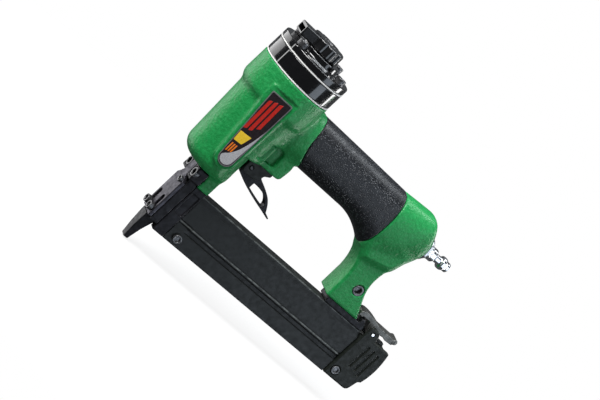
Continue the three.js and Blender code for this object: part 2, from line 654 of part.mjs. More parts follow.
// Cover plate over the driver slot, with two long slots that let its screws be set.
function nosePlate() {
  const [bottom, shoulder, neckHalf] = [TIP_TOP + GAP, 62, 5];
  const front = shapeOf([[-NOSE_HALF, bottom], [NOSE_HALF, bottom], [NOSE_HALF, shoulder],
    [neckHalf, shoulder + 5], [-neckHalf, shoulder + 5], [-NOSE_HALF, shoulder]]);
  const face = sideCut(front, (PLATE_REAR - PLATE_FRONT) / 2)
    .rotate([0, 0, 90])
    .translate([(PLATE_FRONT + PLATE_REAR) / 2, 0, 0]);
  const neck = centred(PLATE_FRONT, PLATE_REAR, neckHalf, 66, 80);
  const key = centred(PLATE_REAR - 1, BLADE_X - slotX, slotY - GAP, TIP_TOP + GAP, 79);
  const slots = [-1, 1].map(side => {
    const y = side * LOWER_SCREWS.y;
    return join(rod(2.2, [-9, y, 31], [-1, y, 31], 16), rod(2.2, [-9, y, 43], [-1, y, 43], 16),
      block([-9, y - 2.2, 31], [-1, y + 2.2, 43]));
  });
  return cut(join(face, neck, key), ...slots, rod(1.7, [-9, ...SMALL_SCREW], [-1, ...SMALL_SCREW], 12));
}

add('nose_body', noseBody(), blackSteel);
add('nose_front_plate', nosePlate(), greySteel);
for (const [side, sign] of [['left', -1], ['right', 1]]) {
  add(`nose_clamp_screw_${side}`, socketScrew(3.4, 3.6, 1.9, 13.8), blackSteel,
    { at: [PLATE_FRONT - GAP - 3.6, sign * LOWER_SCREWS.y, LOWER_SCREWS.z], facing: [-1, 0, 0] });
  add(`nose_mount_screw_${side}`, socketScrew(4.1, 4, 2.5, 19), blackSteel,
    { at: [FLANGE.front + 0.2, sign * UPPER_SCREWS.y, UPPER_SCREWS.z], facing: [-1, 0, 0] });
}
add('nose_plate_screw', socketScrew(2.6, 2.4, 1.5, 11), blackSteel,
  { at: [PLATE_FRONT - GAP - 2.4, ...SMALL_SCREW], facing: [-1, 0, 0] });

// ---- Fixed magazine -----------------------------------------------------------------------------

const CHANNEL_HALF = 6.4;
const CHANNEL_TOP = 58;

function magazineHead() {
  const body = centred(NOSE_REAR + GAP, HEAD_REAR, 9.5, MAGAZINE_BOTTOM, 66.5);
  const panel = side => block([6.5, Math.min(side * 8.8, side * 12), 41],
    [HEAD_REAR - 1.5, Math.max(side * 8.8, side * 12), 61]);
  return cut(body, centred(0, HEAD_REAR + 1, 3.2, MAGAZINE_BOTTOM - 1, 58.3), panel(1), panel(-1));
}

// Extruded rail housing: an upside-down channel with a bead along each side.
function magazineHousing() {
  const right = [[5.2, MAGAZINE_BOTTOM], [9, MAGAZINE_BOTTOM], [9, 33], [8.1, 33.7], [8.1, 36.6],
    [9.4, 37.3], [9.4, 39.6], [8.4, 40.5], [8.4, 59], [6.6, 62.3], [6.6, MAGAZINE_TOP]];
  const inside = [[CHANNEL_HALF, CHANNEL_TOP], [CHANNEL_HALF, 21.7], [5.2, 21.7]];
  const mirror = points => points.map(([y, z]) => [-y, z]).reverse();
  const outline = shapeOf([...right, ...mirror(right), ...mirror(inside), ...inside]);
  const [screwX, screwZ] = HEAD_SCREW;
  const hole = side => rod(2.1, [screwX, side * 4, screwZ], [screwX, side * 12, screwZ], 16);
  return cut(lengthCut(outline, HEAD_REAR + GAP, HOUSING_REAR), hole(1), hole(-1));
}

// Foot between the arm and the magazine, with a tab up into the arm and a catch for the latch.
function magazineBracket() {
  const outline = shapeOf([[153, 64.3], [196, 64.3], [196, 68], [192.5, 73.2], [189.5, 73.2],
    [189.5, 69.2], [153, 69.2]]);
  const [screwX, screwZ] = ARM_SCREW;
  return cut(join(sideCut(outline, 8), centred(156, 170, 3, 68, 93.4)),
    rod(2.8, [screwX, -6, screwZ], [screwX, 6, screwZ], 16));
}

add('magazine_head', magazineHead(), blackSteel);
add('magazine_housing', magazineHousing(), blackSatin);
add('magazine_bracket', magazineBracket(), blackSteel);
for (const [side, sign] of [['left', -1], ['right', 1]]) {
  add(`magazine_screw_${side}`, socketScrew(3.7, 2.2, 1.9, 4.6), blackSteel,
    { at: [HEAD_SCREW[0], sign * (9 + GAP + 2.2), HEAD_SCREW[1]], facing: [0, sign, 0] });
}
add('arm_screw', socketScrew(4.6, 4.2, 2.5, 19.5), blackSteel,
  { at: [ARM_SCREW[0], -ARM_HALF + 0.3, ARM_SCREW[1]], facing: [0, -1, 0] });
add('arm_nut', cut(hexagon(8, 0, 3.8), rod(2.8, [0, 0, -1], [0, 0, 5], 16)), blackSteel,
  { at: [ARM_SCREW[0], 6.9, ARM_SCREW[1]], facing: [0, 1, 0] });

// ---- Drawer: rail, staples, pusher and rear cover -----------------------------------------------

function innerRail() {
  const bar = centred(4.5, HOUSING_REAR, 1.6, 23, 56.6);
  return join(bar, centred(16, HOUSING_REAR, 6.1, 22, 24.2));
}

function stapleStrip() {
  const outer = centred(BLADE_X + 0.9, PUSHER_FRONT - GAP, 2.55, 35.6, STRIP_TOP);
  return cut(outer, centred(BLADE_X, PUSHER_FRONT + 1, 1.9, 30, STRIP_TOP - 0.65));
}

function pusher() {
  const [y, z] = ROD_LINE;
  const body = centred(PUSHER_FRONT, PUSHER_REAR, 6, 26, 57.7);
  return cut(body, centred(PUSHER_FRONT - 1, PUSHER_REAR + 1, 1.9, 20, 56.8),
    rod(1.35, [PUSHER_FRONT - 1, y, z], [PUSHER_REAR + 1, y, z], 12),
    block([PUSHER_FRONT - 1, 1, 20], [PUSHER_REAR + 1, 8, 38]));
}

// Moulded end cap with three grip grooves on each side and a slot for the latch.
function rearCover() {
  const front = HOUSING_REAR + GAP;
  const [foot, crown] = [230.6, 229];     // where the rounded back starts and ends
  const bulge = 2 * COVER_REAR - (foot + crown) / 2;
  const outline = new THREE.Shape();
  outline.moveTo(front, 20.6);
  outline.lineTo(223.5, 20.6);
  outline.quadraticCurveTo(226, 20.6, 226.8, 24);
  outline.lineTo(228.2, 31.5);
  outline.lineTo(foot, 33);
  outline.quadraticCurveTo(bulge, 48, crown, 65.3);
  outline.lineTo(212, 65.6);
  outline.quadraticCurveTo(211, 74, 206, 74);
  outline.lineTo(front, 74);
  const groove = (x, side) => block([x, Math.min(side * 10.2, side * 13), 38],
    [x + 1.4, Math.max(side * 10.2, side * 13), 59]);
  const grooves = [210.8, 216.5, 222.2].flatMap(x => [groove(x, 1), groove(x, -1)]);
  const [pivotX, pivotZ] = LATCH_PIVOT;
  const [screwX, screwZ] = COVER_SCREW;
  const hole = side => rod(2.1, [screwX, side * 6, screwZ], [screwX, side * 9.4, screwZ], 16);
  const sink = side => rod(4.2, [screwX, side * 9.3, screwZ], [screwX, side * 13, screwZ], 20);
  return cut(sideCut(outline, COVER_HALF), ...grooves,
    centred(190, 234, 6.3, 63.5, 80),
    centred(190, 203, 9.5, MAGAZINE_TOP - 2, 80),
    rod(1.8, [pivotX, -14, pivotZ], [pivotX, 14, pivotZ], 14),
    hole(1), hole(-1), sink(1), sink(-1));
}

// Spring-loaded hook over the bracket's catch, with a rolled thumb tongue at the rear.
function latchLever() {
  const [pivotX, pivotZ] = LATCH_PIVOT;
  const roll = [227, 75.1, 2.4];          // centre and radius of the tongue's rolled end
  const outline = new THREE.Shape();
  outline.moveTo(184.6, 73.6);
  outline.lineTo(188.6, 73.6);
  outline.lineTo(189, 74.6);
  outline.lineTo(197, 74.6);
  outline.lineTo(201, 66.4);
  outline.lineTo(208, 66.4);
  outline.lineTo(210, 71);
  outline.lineTo(217, 71.6);
  outline.lineTo(219, 70.7);
  outline.lineTo(226, 71.2);
  outline.lineTo(roll[0] + 0.5, roll[1] - roll[2]);
  outline.absarc(...roll, -1.3, QUARTER, false);
  outline.lineTo(207, 76.4);
  outline.quadraticCurveTo(197, 79.4, 190, 79.2);
  outline.quadraticCurveTo(184.6, 78.8, 184.6, 75);
  return cut(sideCut(outline, 5.8), rod(1.8, [pivotX, -8, pivotZ], [pivotX, 8, pivotZ], 14));
}

const [latchX, latchZ] = LATCH_PIVOT;
const [rodY, rodZ] = ROD_LINE;

add('inner_rail', innerRail(), brightSteel);
add('staple_strip', stapleStrip(), bareAluminium);
add('pusher', pusher(), blackPlastic);
add('pusher_rod', rod(1, [20, rodY, rodZ], [HOUSING_REAR, rodY, rodZ], 12), brightSteel);
add('pusher_spring', spring(1.6, HOUSING_REAR - 0.6 - PUSHER_REAR - 1, 12, 0.3, 7), brightSteel,
  { at: [PUSHER_REAR + 0.7, rodY, rodZ], facing: [1, 0, 0] });
add('rear_cover', rearCover(), blackPlastic);
for (const [side, sign] of [['left', -1], ['right', 1]]) {
  add(`cover_screw_${side}`, socketScrew(3.7, 2, 1.9, 4.6), blackSteel,
    { at: [COVER_SCREW[0], sign * 11.6, COVER_SCREW[1]], facing: [0, sign, 0] });
}
add('latch_lever', latchLever(), greySteel);
add('latch_pin', rod(1.5, [latchX, -11.3, latchZ], [latchX, 11.3, latchZ], 14), brightSteel);
add('latch_spring', spring(1.9, 6.6, 5, 0.35, 7), brightSteel, { at: [214, 0, 64] });

// ---- Trigger and its valve ----------------------------------------------------------------------

const [hingeX, hingeZ] = TRIGGER_PIVOT;

// Fixed fork under the casting that carries the trigger's pin.
function triggerBracket() {
  const top = HOUSING_BOTTOM - GAP;
  const front = BACK_RADIUS + GAP;
  const outline = shapeOf([[front, top], [front, 101], [21, 98.5], [33, 98.5], [37, 101.5],
    [37.5, 106], [42, 108.5], [42, top]]);
  return cut(sideCut(outline, 7.6), centred(10, 60, 4.5, 90, 109.2),
    rod(5.6, [VALVE_X, 0, 108], [VALVE_X, 0, 116], 20),
    rod(1.8, [hingeX, -14, hingeZ], [hingeX, 14, hingeZ], 14));
}

// Pressed lever with two side walls, a finger strip that joins them and an open window behind it.
function trigger() {
  const [half, sheet] = [4.2, 1.2];
  const outline = new THREE.Shape();
  outline.moveTo(21.5, 108);
  outline.lineTo(21, 96.5);
  outline.quadraticCurveTo(34, 89.8, 59, 84.2);
  outline.lineTo(68, 82);
  outline.lineTo(68.2, 83.1);
  outline.lineTo(63.2, 84.8);
  outline.quadraticCurveTo(58.4, 93, 53, 96);
  outline.quadraticCurveTo(48, 98.9, 41.5, 101.5);
  outline.lineTo(30, 107.6);
  const window = new THREE.Shape();
  window.moveTo(37.4, 91.3);
  window.quadraticCurveTo(48, 88, 57.8, 86);
  window.quadraticCurveTo(58, 90, 52, 93.8);
  window.quadraticCurveTo(46, 96.6, 37.6, 96.4);
  const inside = new THREE.Shape();
  inside.moveTo(10, 130);
  inside.lineTo(10, 98);
  inside.lineTo(22.3, 98);
  inside.quadraticCurveTo(35, 91, 57, 86.1);
  inside.lineTo(60, 92);
  inside.lineTo(60, 130);
  const tab = centred(VALVE_X - 4, VALVE_X + 3, half - sheet + 0.1, 99.8, 101.4);
  const shell = cut(sideCut(outline, half), sideCut(inside, half - sheet), sideCut(window, 9));
  return cut(join(shell, tab), rod(1.8, [hingeX, -9, hingeZ], [hingeX, 9, hingeZ], 14));
}

function valveBody() {
  return turned([[2.6, 110], [5.2, 110], [5.2, 112.3], [6.5, 112.3], [6.5, 128], [4, 128], [4, 116],
    [2.6, 116], [2.6, 110]], { x: VALVE_X, sides: 20 });
}

function valveStem() {
  return turned([[0, 101.7], [1, 101.7], [2.3, 103.2], [2.3, 117], [3.7, 117], [3.7, 119.5], [1.6, 119.5],
    [1.6, 121], [0, 121]], { x: VALVE_X, sides: 14 });
}

add('trigger_bracket', triggerBracket(), blackPlastic);
add('trigger', trigger(), blackSteel);
add('trigger_pin', rod(1.5, [hingeX, -8.2, hingeZ], [hingeX, 8.2, hingeZ], 14), blackSteel);
add('valve_body', valveBody(), blackPlastic);
add('valve_stem', valveStem(), brightSteel);
add('valve_spring', spring(2.6, 5.6, 4, 0.35, 8), brightSteel, { at: [VALVE_X, 0, 120.2] });
add('valve_plug', cut(rod(6.5, [VALVE_X, 0, 128.3], [VALVE_X, 0, 131], 24),
  rod(1.5, [VALVE_X, 0, 127], [VALVE_X, 0, 133], 12)), bareAluminium);

// ---- Air inlet ----------------------------------------------------------------------------------

function endBush() {
  return turned([[5.2, -9], [7.7, -9], [7.7, GAP], [11, GAP], [11, 3], [5.2, 3], [5.2, -9]],
    { sides: 18 });
}

function airPlug() {
  return turned([[2.8, -6], [4.9, -6], [4.9, 3 + GAP], [6.6, 3 + GAP], [6.6, 7.5], [5.8, 8], [5.8, 13],
    [3.6, 14.5], [3.6, 20], [5.6, 21.5], [5.6, 24.5], [4.3, 27], [4.3, 30], [2.8, 30], [2.8, -6]],
  { sides: 18 });
}

// The bush and plug are turned about Z from the inlet's face up, then laid along X.
const inlet = new THREE.Group();
inlet.position.set(INLET_FACE, 0, PASSAGE_HEIGHT);
inlet.rotation.y = QUARTER;
stapleGun.add(inlet);
add('end_bush', endBush(), bareAluminium, { group: inlet });
add('air_plug', airPlug(), brightSteel, { group: inlet });

stapleGun.position.x = DRIVER_LEAD;

export default stapleGun;
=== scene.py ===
import json
import math

import bmesh
import bpy
import numpy as np
import openvdb
from mathutils import Matrix, Vector
from mathutils.geometry import tessellate_polygon


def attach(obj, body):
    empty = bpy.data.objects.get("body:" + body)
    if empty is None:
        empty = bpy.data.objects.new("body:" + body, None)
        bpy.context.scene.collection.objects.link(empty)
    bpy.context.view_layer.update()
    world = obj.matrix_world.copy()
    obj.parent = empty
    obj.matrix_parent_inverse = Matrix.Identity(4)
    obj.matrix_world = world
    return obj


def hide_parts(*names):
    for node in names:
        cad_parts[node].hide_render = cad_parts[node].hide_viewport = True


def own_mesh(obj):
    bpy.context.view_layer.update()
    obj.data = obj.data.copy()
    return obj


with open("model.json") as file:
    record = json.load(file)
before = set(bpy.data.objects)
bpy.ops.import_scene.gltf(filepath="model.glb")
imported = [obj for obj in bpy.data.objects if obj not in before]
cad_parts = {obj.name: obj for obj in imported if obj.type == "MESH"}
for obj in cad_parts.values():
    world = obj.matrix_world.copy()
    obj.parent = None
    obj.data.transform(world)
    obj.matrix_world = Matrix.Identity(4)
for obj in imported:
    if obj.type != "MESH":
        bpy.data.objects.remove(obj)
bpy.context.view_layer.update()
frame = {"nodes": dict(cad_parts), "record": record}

# Shapes are drawn in millimetres round the cylinder's axis. The driver's line, which is the frame's
# origin, runs LEAD millimetres ahead of it.
MM = 0.001
LEAD = 3.0
WIRE_SIDES = 12

# ---- Materials ----

# Filled as each look is done. Those that aren't slots of the record are given to single pieces.
LOOKS = {}


def add_node(tree, kind, inputs=None, **settings):
    """Adds a shader node. Each of the inputs gets a value or is wired to another node's output."""
    node = tree.nodes.new("ShaderNode" + kind)
    for key, value in settings.items():
        setattr(node, key, value)
    for key, value in (inputs or {}).items():
        if isinstance(value, bpy.types.NodeSocket):
            tree.links.new(value, node.inputs[key])
        else:
            node.inputs[key].default_value = value
    return node


class Nodes:
    """One material's node tree, with short ways to add a node and to wire it up."""

    def __init__(self, name, roughness, metallic=0.0, shine=0.5, coat=(0.0, 0.03)):
        self.name = name
        self.material = bpy.data.materials.new(name)
        self.material.use_nodes = True
        self.tree = self.material.node_tree
        self.shader = self.tree.nodes["Principled BSDF"]
        settings = {"Roughness": roughness, "Metallic": metallic, "Specular IOR Level": shine,
                    "Coat Weight": coat[0], "Coat Roughness": coat[1]}
        for key, value in settings.items():
            self.shader.inputs[key].default_value = value
        coordinates = self.add("TexCoord")
        scale = self.add("VectorMath", {0: coordinates.outputs["Object"], "Scale": 1 / MM}, operation="SCALE")
        self.place = scale.outputs[0]
        self.bumps = None

    def add(self, kind, inputs=None, **settings):
        return add_node(self.tree, kind, inputs, **settings)

    def wire(self, output, entry):
        self.tree.links.new(output, entry)

    def stretched(self, factors):
        """The place in millimetres, with each axis multiplied."""
        return self.add("VectorMath", {0: self.place, 1: factors}, operation="MULTIPLY").outputs[0]

    def noise(self, size, detail=2.0, place=None, rough=0.5):
        """Noise whose lumps are about size millimetres across."""
        inputs = {"Scale": 1 / size, "Detail": detail, "Roughness": rough, "Vector": place or self.place}
        return self.add("TexNoise", inputs).outputs["Fac"]

    def specks(self, size):
        return self.add("TexVoronoi", {"Scale": 1 / size, "Vector": self.place}).outputs["Distance"]

    def span(self, value, low, high, start=0.0, end=1.0):
        """Maps low..high to start..end and keeps it between them."""
        inputs = {"Value": value, "From Min": low, "From Max": high, "To Min": start, "To Max": end}
        return self.add("MapRange", inputs).outputs["Result"]

    def math(self, operation, a, b):
        return self.add("Math", {0: a, 1: b}, operation=operation).outputs[0]

    def blend(self, amount, *colors):
        """Mixes two colours, each a tuple or an output."""
        first, second = ((*c, 1.0) if isinstance(c, tuple) else c for c in colors)
        return self.add("Mix", {0: amount, 6: first, 7: second}, data_type="RGBA").outputs[2]

    def mottle(self, size, detail, low, high, first, second, end=1.0, rough=0.5):
        """Blends two colours by noise, which passes over from one to the other between low and high."""
        return self.blend(self.span(self.noise(size, detail, rough=rough), low, high, 0.0, end), first, second)

    def edges(self):
        """Rises to 1 along outward edges, broken up so that it isn't even: worn edges, and on screw heads a painted
        highlight ring.
        """
        geometry = self.add("NewGeometry")
        sharp = self.span(geometry.outputs["Pointiness"], 0.52, 0.6)
        patches = self.span(self.noise(2.2, 4.0), 0.4, 0.62)
        return self.math("MULTIPLY", sharp, patches)

    def bump(self, height, depth):
        """Adds a bump of depth millimetres on top of those before it."""
        node = self.add("Bump", {"Strength": 1.0, "Distance": depth * MM, "Height": height})
        if self.bumps is not None:
            self.wire(self.bumps, node.inputs["Normal"])
        self.bumps = node.outputs["Normal"]

    def done(self, color, size=0.0, detail=4.0, dull=0.0, rough=0.0):
        """Wires up the colour and the bumps. With a size, noise takes the roughness from dull to rough."""
        if size:
            roughness = self.span(self.noise(size, detail), 0.3, 0.7, dull, rough)
            self.wire(roughness, self.shader.inputs["Roughness"])
        self.wire(color, self.shader.inputs["Base Color"])
        if self.bumps is not None:
            self.wire(self.bumps, self.shader.inputs["Normal"])
        LOOKS[self.name] = self.material


def green_paint():
    """Powder paint on a casting: leathery skin, mottled colour, pale rubbed edges."""
    n = Nodes("green_paint", 0.42, shine=0.32, coat=(0.08, 0.3))
    color = n.mottle(2.2, 3.0, 0.36, 0.66, (0.005, 0.2, 0.042), (0.012, 0.275, 0.068), rough=0.6)
    color = n.mottle(30.0, 1.0, 0.4, 0.9, color, (0.008, 0.25, 0.058), 0.6)
    color = n.blend(n.edges(), color, (0.06, 0.44, 0.16))
    n.bump(n.noise(2.4, 2.0), 0.6)
    n.bump(n.noise(0.6, 2.0), 0.05)
    n.done(color, 5.0, 3.0, 0.34, 0.5)


def dark_coat(name, dark, pale, wear_and_highlight, rough, metallic, grain, **shader):
    """Black paint, oxide or moulded plastic: two close tones, a fine grain, and brighter edges: wear, and on screw
    heads a painted highlight ring.
    """
    n = Nodes(name, rough, metallic, **shader)
    color = n.mottle(3.5, 5.0, 0.35, 0.7, dark, pale, rough=0.6)
    color = n.blend(n.edges(), color, wear_and_highlight)
    size, depth = grain
    n.bump(n.noise(size, 3.0), depth)
    n.done(color, 4.0, 4.0, rough * 0.8, rough * 1.3)


def metal(name, dark, pale, rough, grain, stretch=(1.0, 1.0, 1.0)):
    """Bare or plated metal with fine tool marks drawn out along one axis."""
    n = Nodes(name, rough, 1.0)
    place = n.stretched(stretch)
    size, depth = grain
    lines = n.noise(size, 4.0, place)
    color = n.blend(n.span(lines, 0.3, 0.7), dark, pale)
    color = n.mottle(9.0, 3.0, 0.5, 0.75, color, dark)
    n.bump(lines, depth)
    n.done(color, 3.0, 4.0, rough * 0.75, rough * 1.4)


def grip_rubber():
    """Moulded rubber with a spark-eroded speckle and a faint bloom."""
    n = Nodes("grip_rubber", 0.42, shine=0.42)
    dots = n.span(n.specks(1.35), 0.12, 0.42)
    color = n.blend(dots, (0.05, 0.056, 0.068), (0.003, 0.0036, 0.005))
    color = n.mottle(14.0, 3.0, 0.45, 0.85, color, (0.006, 0.007, 0.01), 0.7)
    n.bump(dots, 0.32)
    n.bump(n.noise(0.6, 2.0), 0.05)
    n.done(color, 6.0, 3.0, 0.34, 0.5)


def magazine_paint():
    """Thin black paint on folded sheet, with pale painted highlight lines along the top bend and the bead."""
    n = Nodes("magazine_paint", 0.4, shine=0.28)
    color = n.mottle(3.5, 5.0, 0.35, 0.7, *BLACK, rough=0.6)
    split = n.add("SeparateXYZ", {0: n.place})
    broken = n.span(n.noise(5.0, 5.0), 0.36, 0.6, 0.15, 1.0)
    # The two pale lines are painted highlights on the top bend and the bead, broken up by noise.
    for height, reach in ((63.4, 0.7), (38.9, 0.75)):
        away = n.math("ABSOLUTE", n.math("SUBTRACT", split.outputs["Z"], height), 0.0)
        painted_highlight = n.math("MULTIPLY", n.span(away, reach * 0.4, reach, 1.0, 0.0), broken)
        color = n.blend(painted_highlight, color, (0.13, 0.14, 0.135))
    n.bump(n.noise(0.7, 3.0), 0.012)
    n.done(color, 4.0, 4.0, 0.32, 0.5)


def soft_seal(name, dark, pale, rough):
    n = Nodes(name, rough)
    color = n.mottle(2.0, 4.0, 0.35, 0.7, dark, pale)
    n.bump(n.noise(0.6, 3.0), 0.03)
    n.done(color)


def ink(name, dark, pale, rough=0.3, metallic=0.0):
    """Printed ink under clear lacquer, with a little grain of the sheet showing."""
    n = Nodes(name, rough, metallic, shine=0.3, coat=(0.3, 0.14))
    color = n.mottle(0.9, 4.0, 0.3, 0.7, dark, pale)
    n.bump(n.noise(0.4, 2.0), 0.008)
    n.done(color, 4.0, 3.0, rough * 0.8, rough * 1.3)


BLACK = (0.004, 0.005, 0.0045), (0.0065, 0.0078, 0.0072)
green_paint()
dark_coat("black_gloss", (0.0015, 0.0015, 0.002), (0.003, 0.003, 0.0035), (0.05, 0.05, 0.055), 0.2, 0.0,
          (2.6, 0.03), shine=0.25, coat=(1.0, 0.05))
dark_coat("black_satin", *BLACK, (0.09, 0.1, 0.095), 0.4, 0.0, (0.7, 0.012), shine=0.28)
dark_coat("black_plastic", (0.007, 0.0088, 0.0068), (0.0125, 0.0155, 0.0125), (0.04, 0.046, 0.04), 0.44,
          0.0, (0.55, 0.05), shine=0.28)
dark_coat("black_steel", (0.008, 0.008, 0.0095), (0.02, 0.02, 0.024), (0.2, 0.2, 0.215), 0.4, 0.5,
          (0.8, 0.03), shine=0.3)
metal("grey_steel", (0.055, 0.053, 0.062), (0.1, 0.097, 0.113), 0.46, (1.1, 0.03), (1.0, 0.5, 0.12))
metal("bright_steel", (0.52, 0.53, 0.55), (0.76, 0.77, 0.79), 0.2, (0.8, 0.008))
metal("bare_aluminium", (0.42, 0.43, 0.44), (0.62, 0.63, 0.64), 0.34, (0.5, 0.015), (1.0, 1.0, 3.0))
grip_rubber()
soft_seal("seal_rubber", (0.008, 0.008, 0.009), (0.016, 0.016, 0.018), 0.6)
soft_seal("seal_white", (0.66, 0.66, 0.64), (0.8, 0.8, 0.78), 0.45)
ink("plate_print", (0.009, 0.006, 0.008), (0.02, 0.015, 0.018))
ink("plate_rim", (0.16, 0.16, 0.17), (0.3, 0.3, 0.31), 0.32, 0.6)
ink("plate_silver", (0.34, 0.34, 0.36), (0.5, 0.5, 0.52), 0.4, 0.2)
ink("plate_red", (0.36, 0.012, 0.008), (0.48, 0.022, 0.014))
ink("plate_orange", (0.6, 0.13, 0.008), (0.72, 0.19, 0.016))
ink("plate_yellow", (0.66, 0.42, 0.018), (0.76, 0.52, 0.04))
# screw_steel's pale edge tone is a painted highlight ring round the screw heads.
dark_coat("screw_steel", (0.06, 0.06, 0.062), (0.19, 0.19, 0.195), (0.55, 0.55, 0.56), 0.34, 0.85,
          (0.7, 0.03))
dark_coat("hood_black", (0.0025, 0.0025, 0.003), (0.006, 0.006, 0.007), (0.045, 0.045, 0.05), 0.3, 0.0,
          (1.4, 0.05), shine=0.25, coat=(1.0, 0.1))
dark_coat("latch_steel", (0.07, 0.07, 0.065), (0.16, 0.16, 0.15), (0.6, 0.6, 0.57), 0.36, 0.6, (0.8, 0.03))
magazine_paint()

# ---- Signed distances on a block of points ----


class Space:
    """A block of points between two corners. Distances are in millimetres, below 0 inside a shape."""

    def __init__(self, low, high, step):
        self.step = step * 1.0
        self.low = np.array(low, float)
        lines = []
        for start, end in zip(low, high):
            count = int((end - start) / self.step) + 2
            lines.append((start + self.step * np.arange(count)).astype(np.float32))
        self.x = lines[0][:, None, None]
        self.y = lines[1][None, :, None]
        self.z = lines[2][None, None, :]
        self.shape = tuple(len(line) for line in lines)


def both(a, b, edge=0.3):
    """Where two shapes overlap, the edge that they make rounded."""
    a, b = a + edge, b + edge
    return np.minimum(np.maximum(a, b), 0) + np.hypot(np.maximum(a, 0), np.maximum(b, 0)) - edge


def either(a, b, fillet=0.3):
    return -both(-a, -b, fillet)


def without(a, b, edge=0.3):
    return both(a, -b, edge)


def carved(shape, *cuts):
    """A shape less some others. Each is given with the rounding of the edge that it leaves."""
    for tool, edge in cuts:
        shape = without(shape, tool, edge)
    return shape


def slab(along, low, high):
    return np.maximum(low - along, along - high)


def post(s, x, y, radius):
    """Endless upright bar."""
    return np.hypot(s.x - x, s.y - y) - radius


def crossbar(s, x, z, radius):
    """Endless bar from side to side."""
    return np.hypot(s.x - x, s.z - z) - radius


def outline(u, v, points):
    """Distance to a closed outline in a plane."""
    u, v = np.broadcast_arrays(u, v)
    nearest = np.full(u.shape, 1e9, np.float32)
    inside = np.zeros(u.shape, bool)
    for (a, b), (c, d) in zip(points, points[1:] + points[:1]):
        du, dv = c - a, d - b
        length = du * du + dv * dv
        if length < 1e-9:
            continue
        t = np.clip(((u - a) * du + (v - b) * dv) / length, 0, 1)
        nearest = np.minimum(nearest, (u - a - t * du) ** 2 + (v - b - t * dv) ** 2)
        if dv:
            inside ^= (v >= min(b, d)) & (v < max(b, d)) & (u < a + (v - b) * du / dv)
    return (np.where(inside, -1, 1) * np.sqrt(nearest)).astype(np.float32)


def soft(points, radius, steps=5):
    """An outline with its corners rounded. A third number in a point is its own rounding."""
    rounded = []
    for i, point in enumerate(points):
        before, here = np.array(points[i - 1][:2]), np.array(point[:2])
        after = np.array(points[(i + 1) % len(points)][:2])
        first, last = before - here, after - here
        reach = point[2] if len(point) > 2 else radius
        if reach == 0:
            rounded.append(tuple(here))
            continue
        sizes = np.linalg.norm(first), np.linalg.norm(last)
        cuts = [min(reach, 0.48 * size) for size in sizes]
        start, end = here + first / sizes[0] * cuts[0], here + last / sizes[1] * cuts[1]
        for t in np.linspace(0, 1, steps):
            rounded.append(tuple(start * (1 - t) ** 2 + here * 2 * t * (1 - t) + end * t * t))
    return rounded


def bend(*handles, steps=10):
    """Points along a curve with two or three handles after its start, the start left out."""
    points = [np.array(handle, float) for handle in handles]
    row = []
    for t in np.linspace(0, 1, steps + 1)[1:]:
        level = points
        while len(level) > 1:
            level = [a * (1 - t) + b * t for a, b in zip(level, level[1:])]
        row.append(tuple(level[0]))
    return row


def course(*parts):
    """Points of an outline. A list among them is a curve from the point before it: its handles, its end and,
    where they aren't 10, its number of steps."""
    points = []
    for part in parts:
        if isinstance(part, list):
            steps = part.pop() if isinstance(part[-1], int) else 10
            points += bend(points[-1], *part, steps=steps)
        else:
            points.append(part)
    return points


def arc(x, y, radius, start, end, count):
    """Points round a centre, from one angle to another in radians."""
    return [(x + radius * math.cos(a), y + radius * math.sin(a)) for a in np.linspace(start, end, count)]


def box(s, low, high, edge=0.3):
    wide, deep, tall = map(slab, (s.x, s.y, s.z), low, high)
    return both(both(wide, deep, edge), tall, edge)


def wide_box(s, x0, x1, half, z0, z1, edge=0.3):
    return box(s, (x0, -half, z0), (x1, half, z1), edge)


def prism(s, points, half, edge=0.4):
    """Side view outline with thickness to both sides of the middle plane."""
    return both(outline(s.x, s.z, points), np.abs(s.y) - half, edge)


def bar(s, axis, centre, radius, low, high, edge=0.2):
    """Round bar along axis 0, 1 or 2. Its centre is given on the other two axes, in order."""
    lines = [s.x, s.y, s.z]
    along = lines.pop(axis)
    across = np.hypot(lines[0] - centre[0], lines[1] - centre[1]) - radius
    return both(across, slab(along, low, high), edge)


def hexagon(u, v, flats, turn=0.0):
    """Distance to six flats about a centre."""
    sides = [u * math.cos(turn + k * math.pi / 3) + v * math.sin(turn + k * math.pi / 3) for k in range(6)]
    return np.maximum.reduce(sides) - flats / 2


def lathe(s, points):
    """Solid of revolution about the upright axis. The outline is [radius, z] points."""
    radius = np.hypot(s.x, s.y)[:, :, 0]
    fine = s.step / 2
    reach = fine * np.arange(int(radius.max() / fine) + 3)
    table = outline(reach[:, None], s.z[0, 0][None, :], points)
    place = radius / fine
    index = place.astype(int)
    part = (place - index)[..., None]
    return (table[index] * (1 - part) + table[index + 1] * part).astype(np.float32)


def upright(angle, radius):
    """Point at an angle in degrees round the cylinder."""
    return radius * math.cos(math.radians(angle)), radius * math.sin(math.radians(angle))


# ---- Meshes ----


def placed(name, points, faces, turn, at):
    """Mesh of points in millimetres. Those drawn about a piece's own axis are turned and put at its place."""
    if turn is not None:
        points = points @ np.array(turn.to_matrix()).T
    points = (points + np.array(at) + (LEAD, 0, 0)) * MM
    mesh = bpy.data.meshes.new(name)
    mesh.from_pydata(points.tolist(), [], faces)
    return mesh


def finish_piece(name, mesh, body, slot, look, nodes=None):
    """Object of a mesh on its body. Unless nodes are given, it replaces the node of its own name."""
    piece = bpy.data.objects.new(name, mesh)
    bpy.context.scene.collection.objects.link(piece)
    mesh.materials.append(LOOKS[look or slot])
    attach(piece, body)
    if nodes is None:
        nodes = [name]
    if nodes:
        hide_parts(*nodes)
    return piece


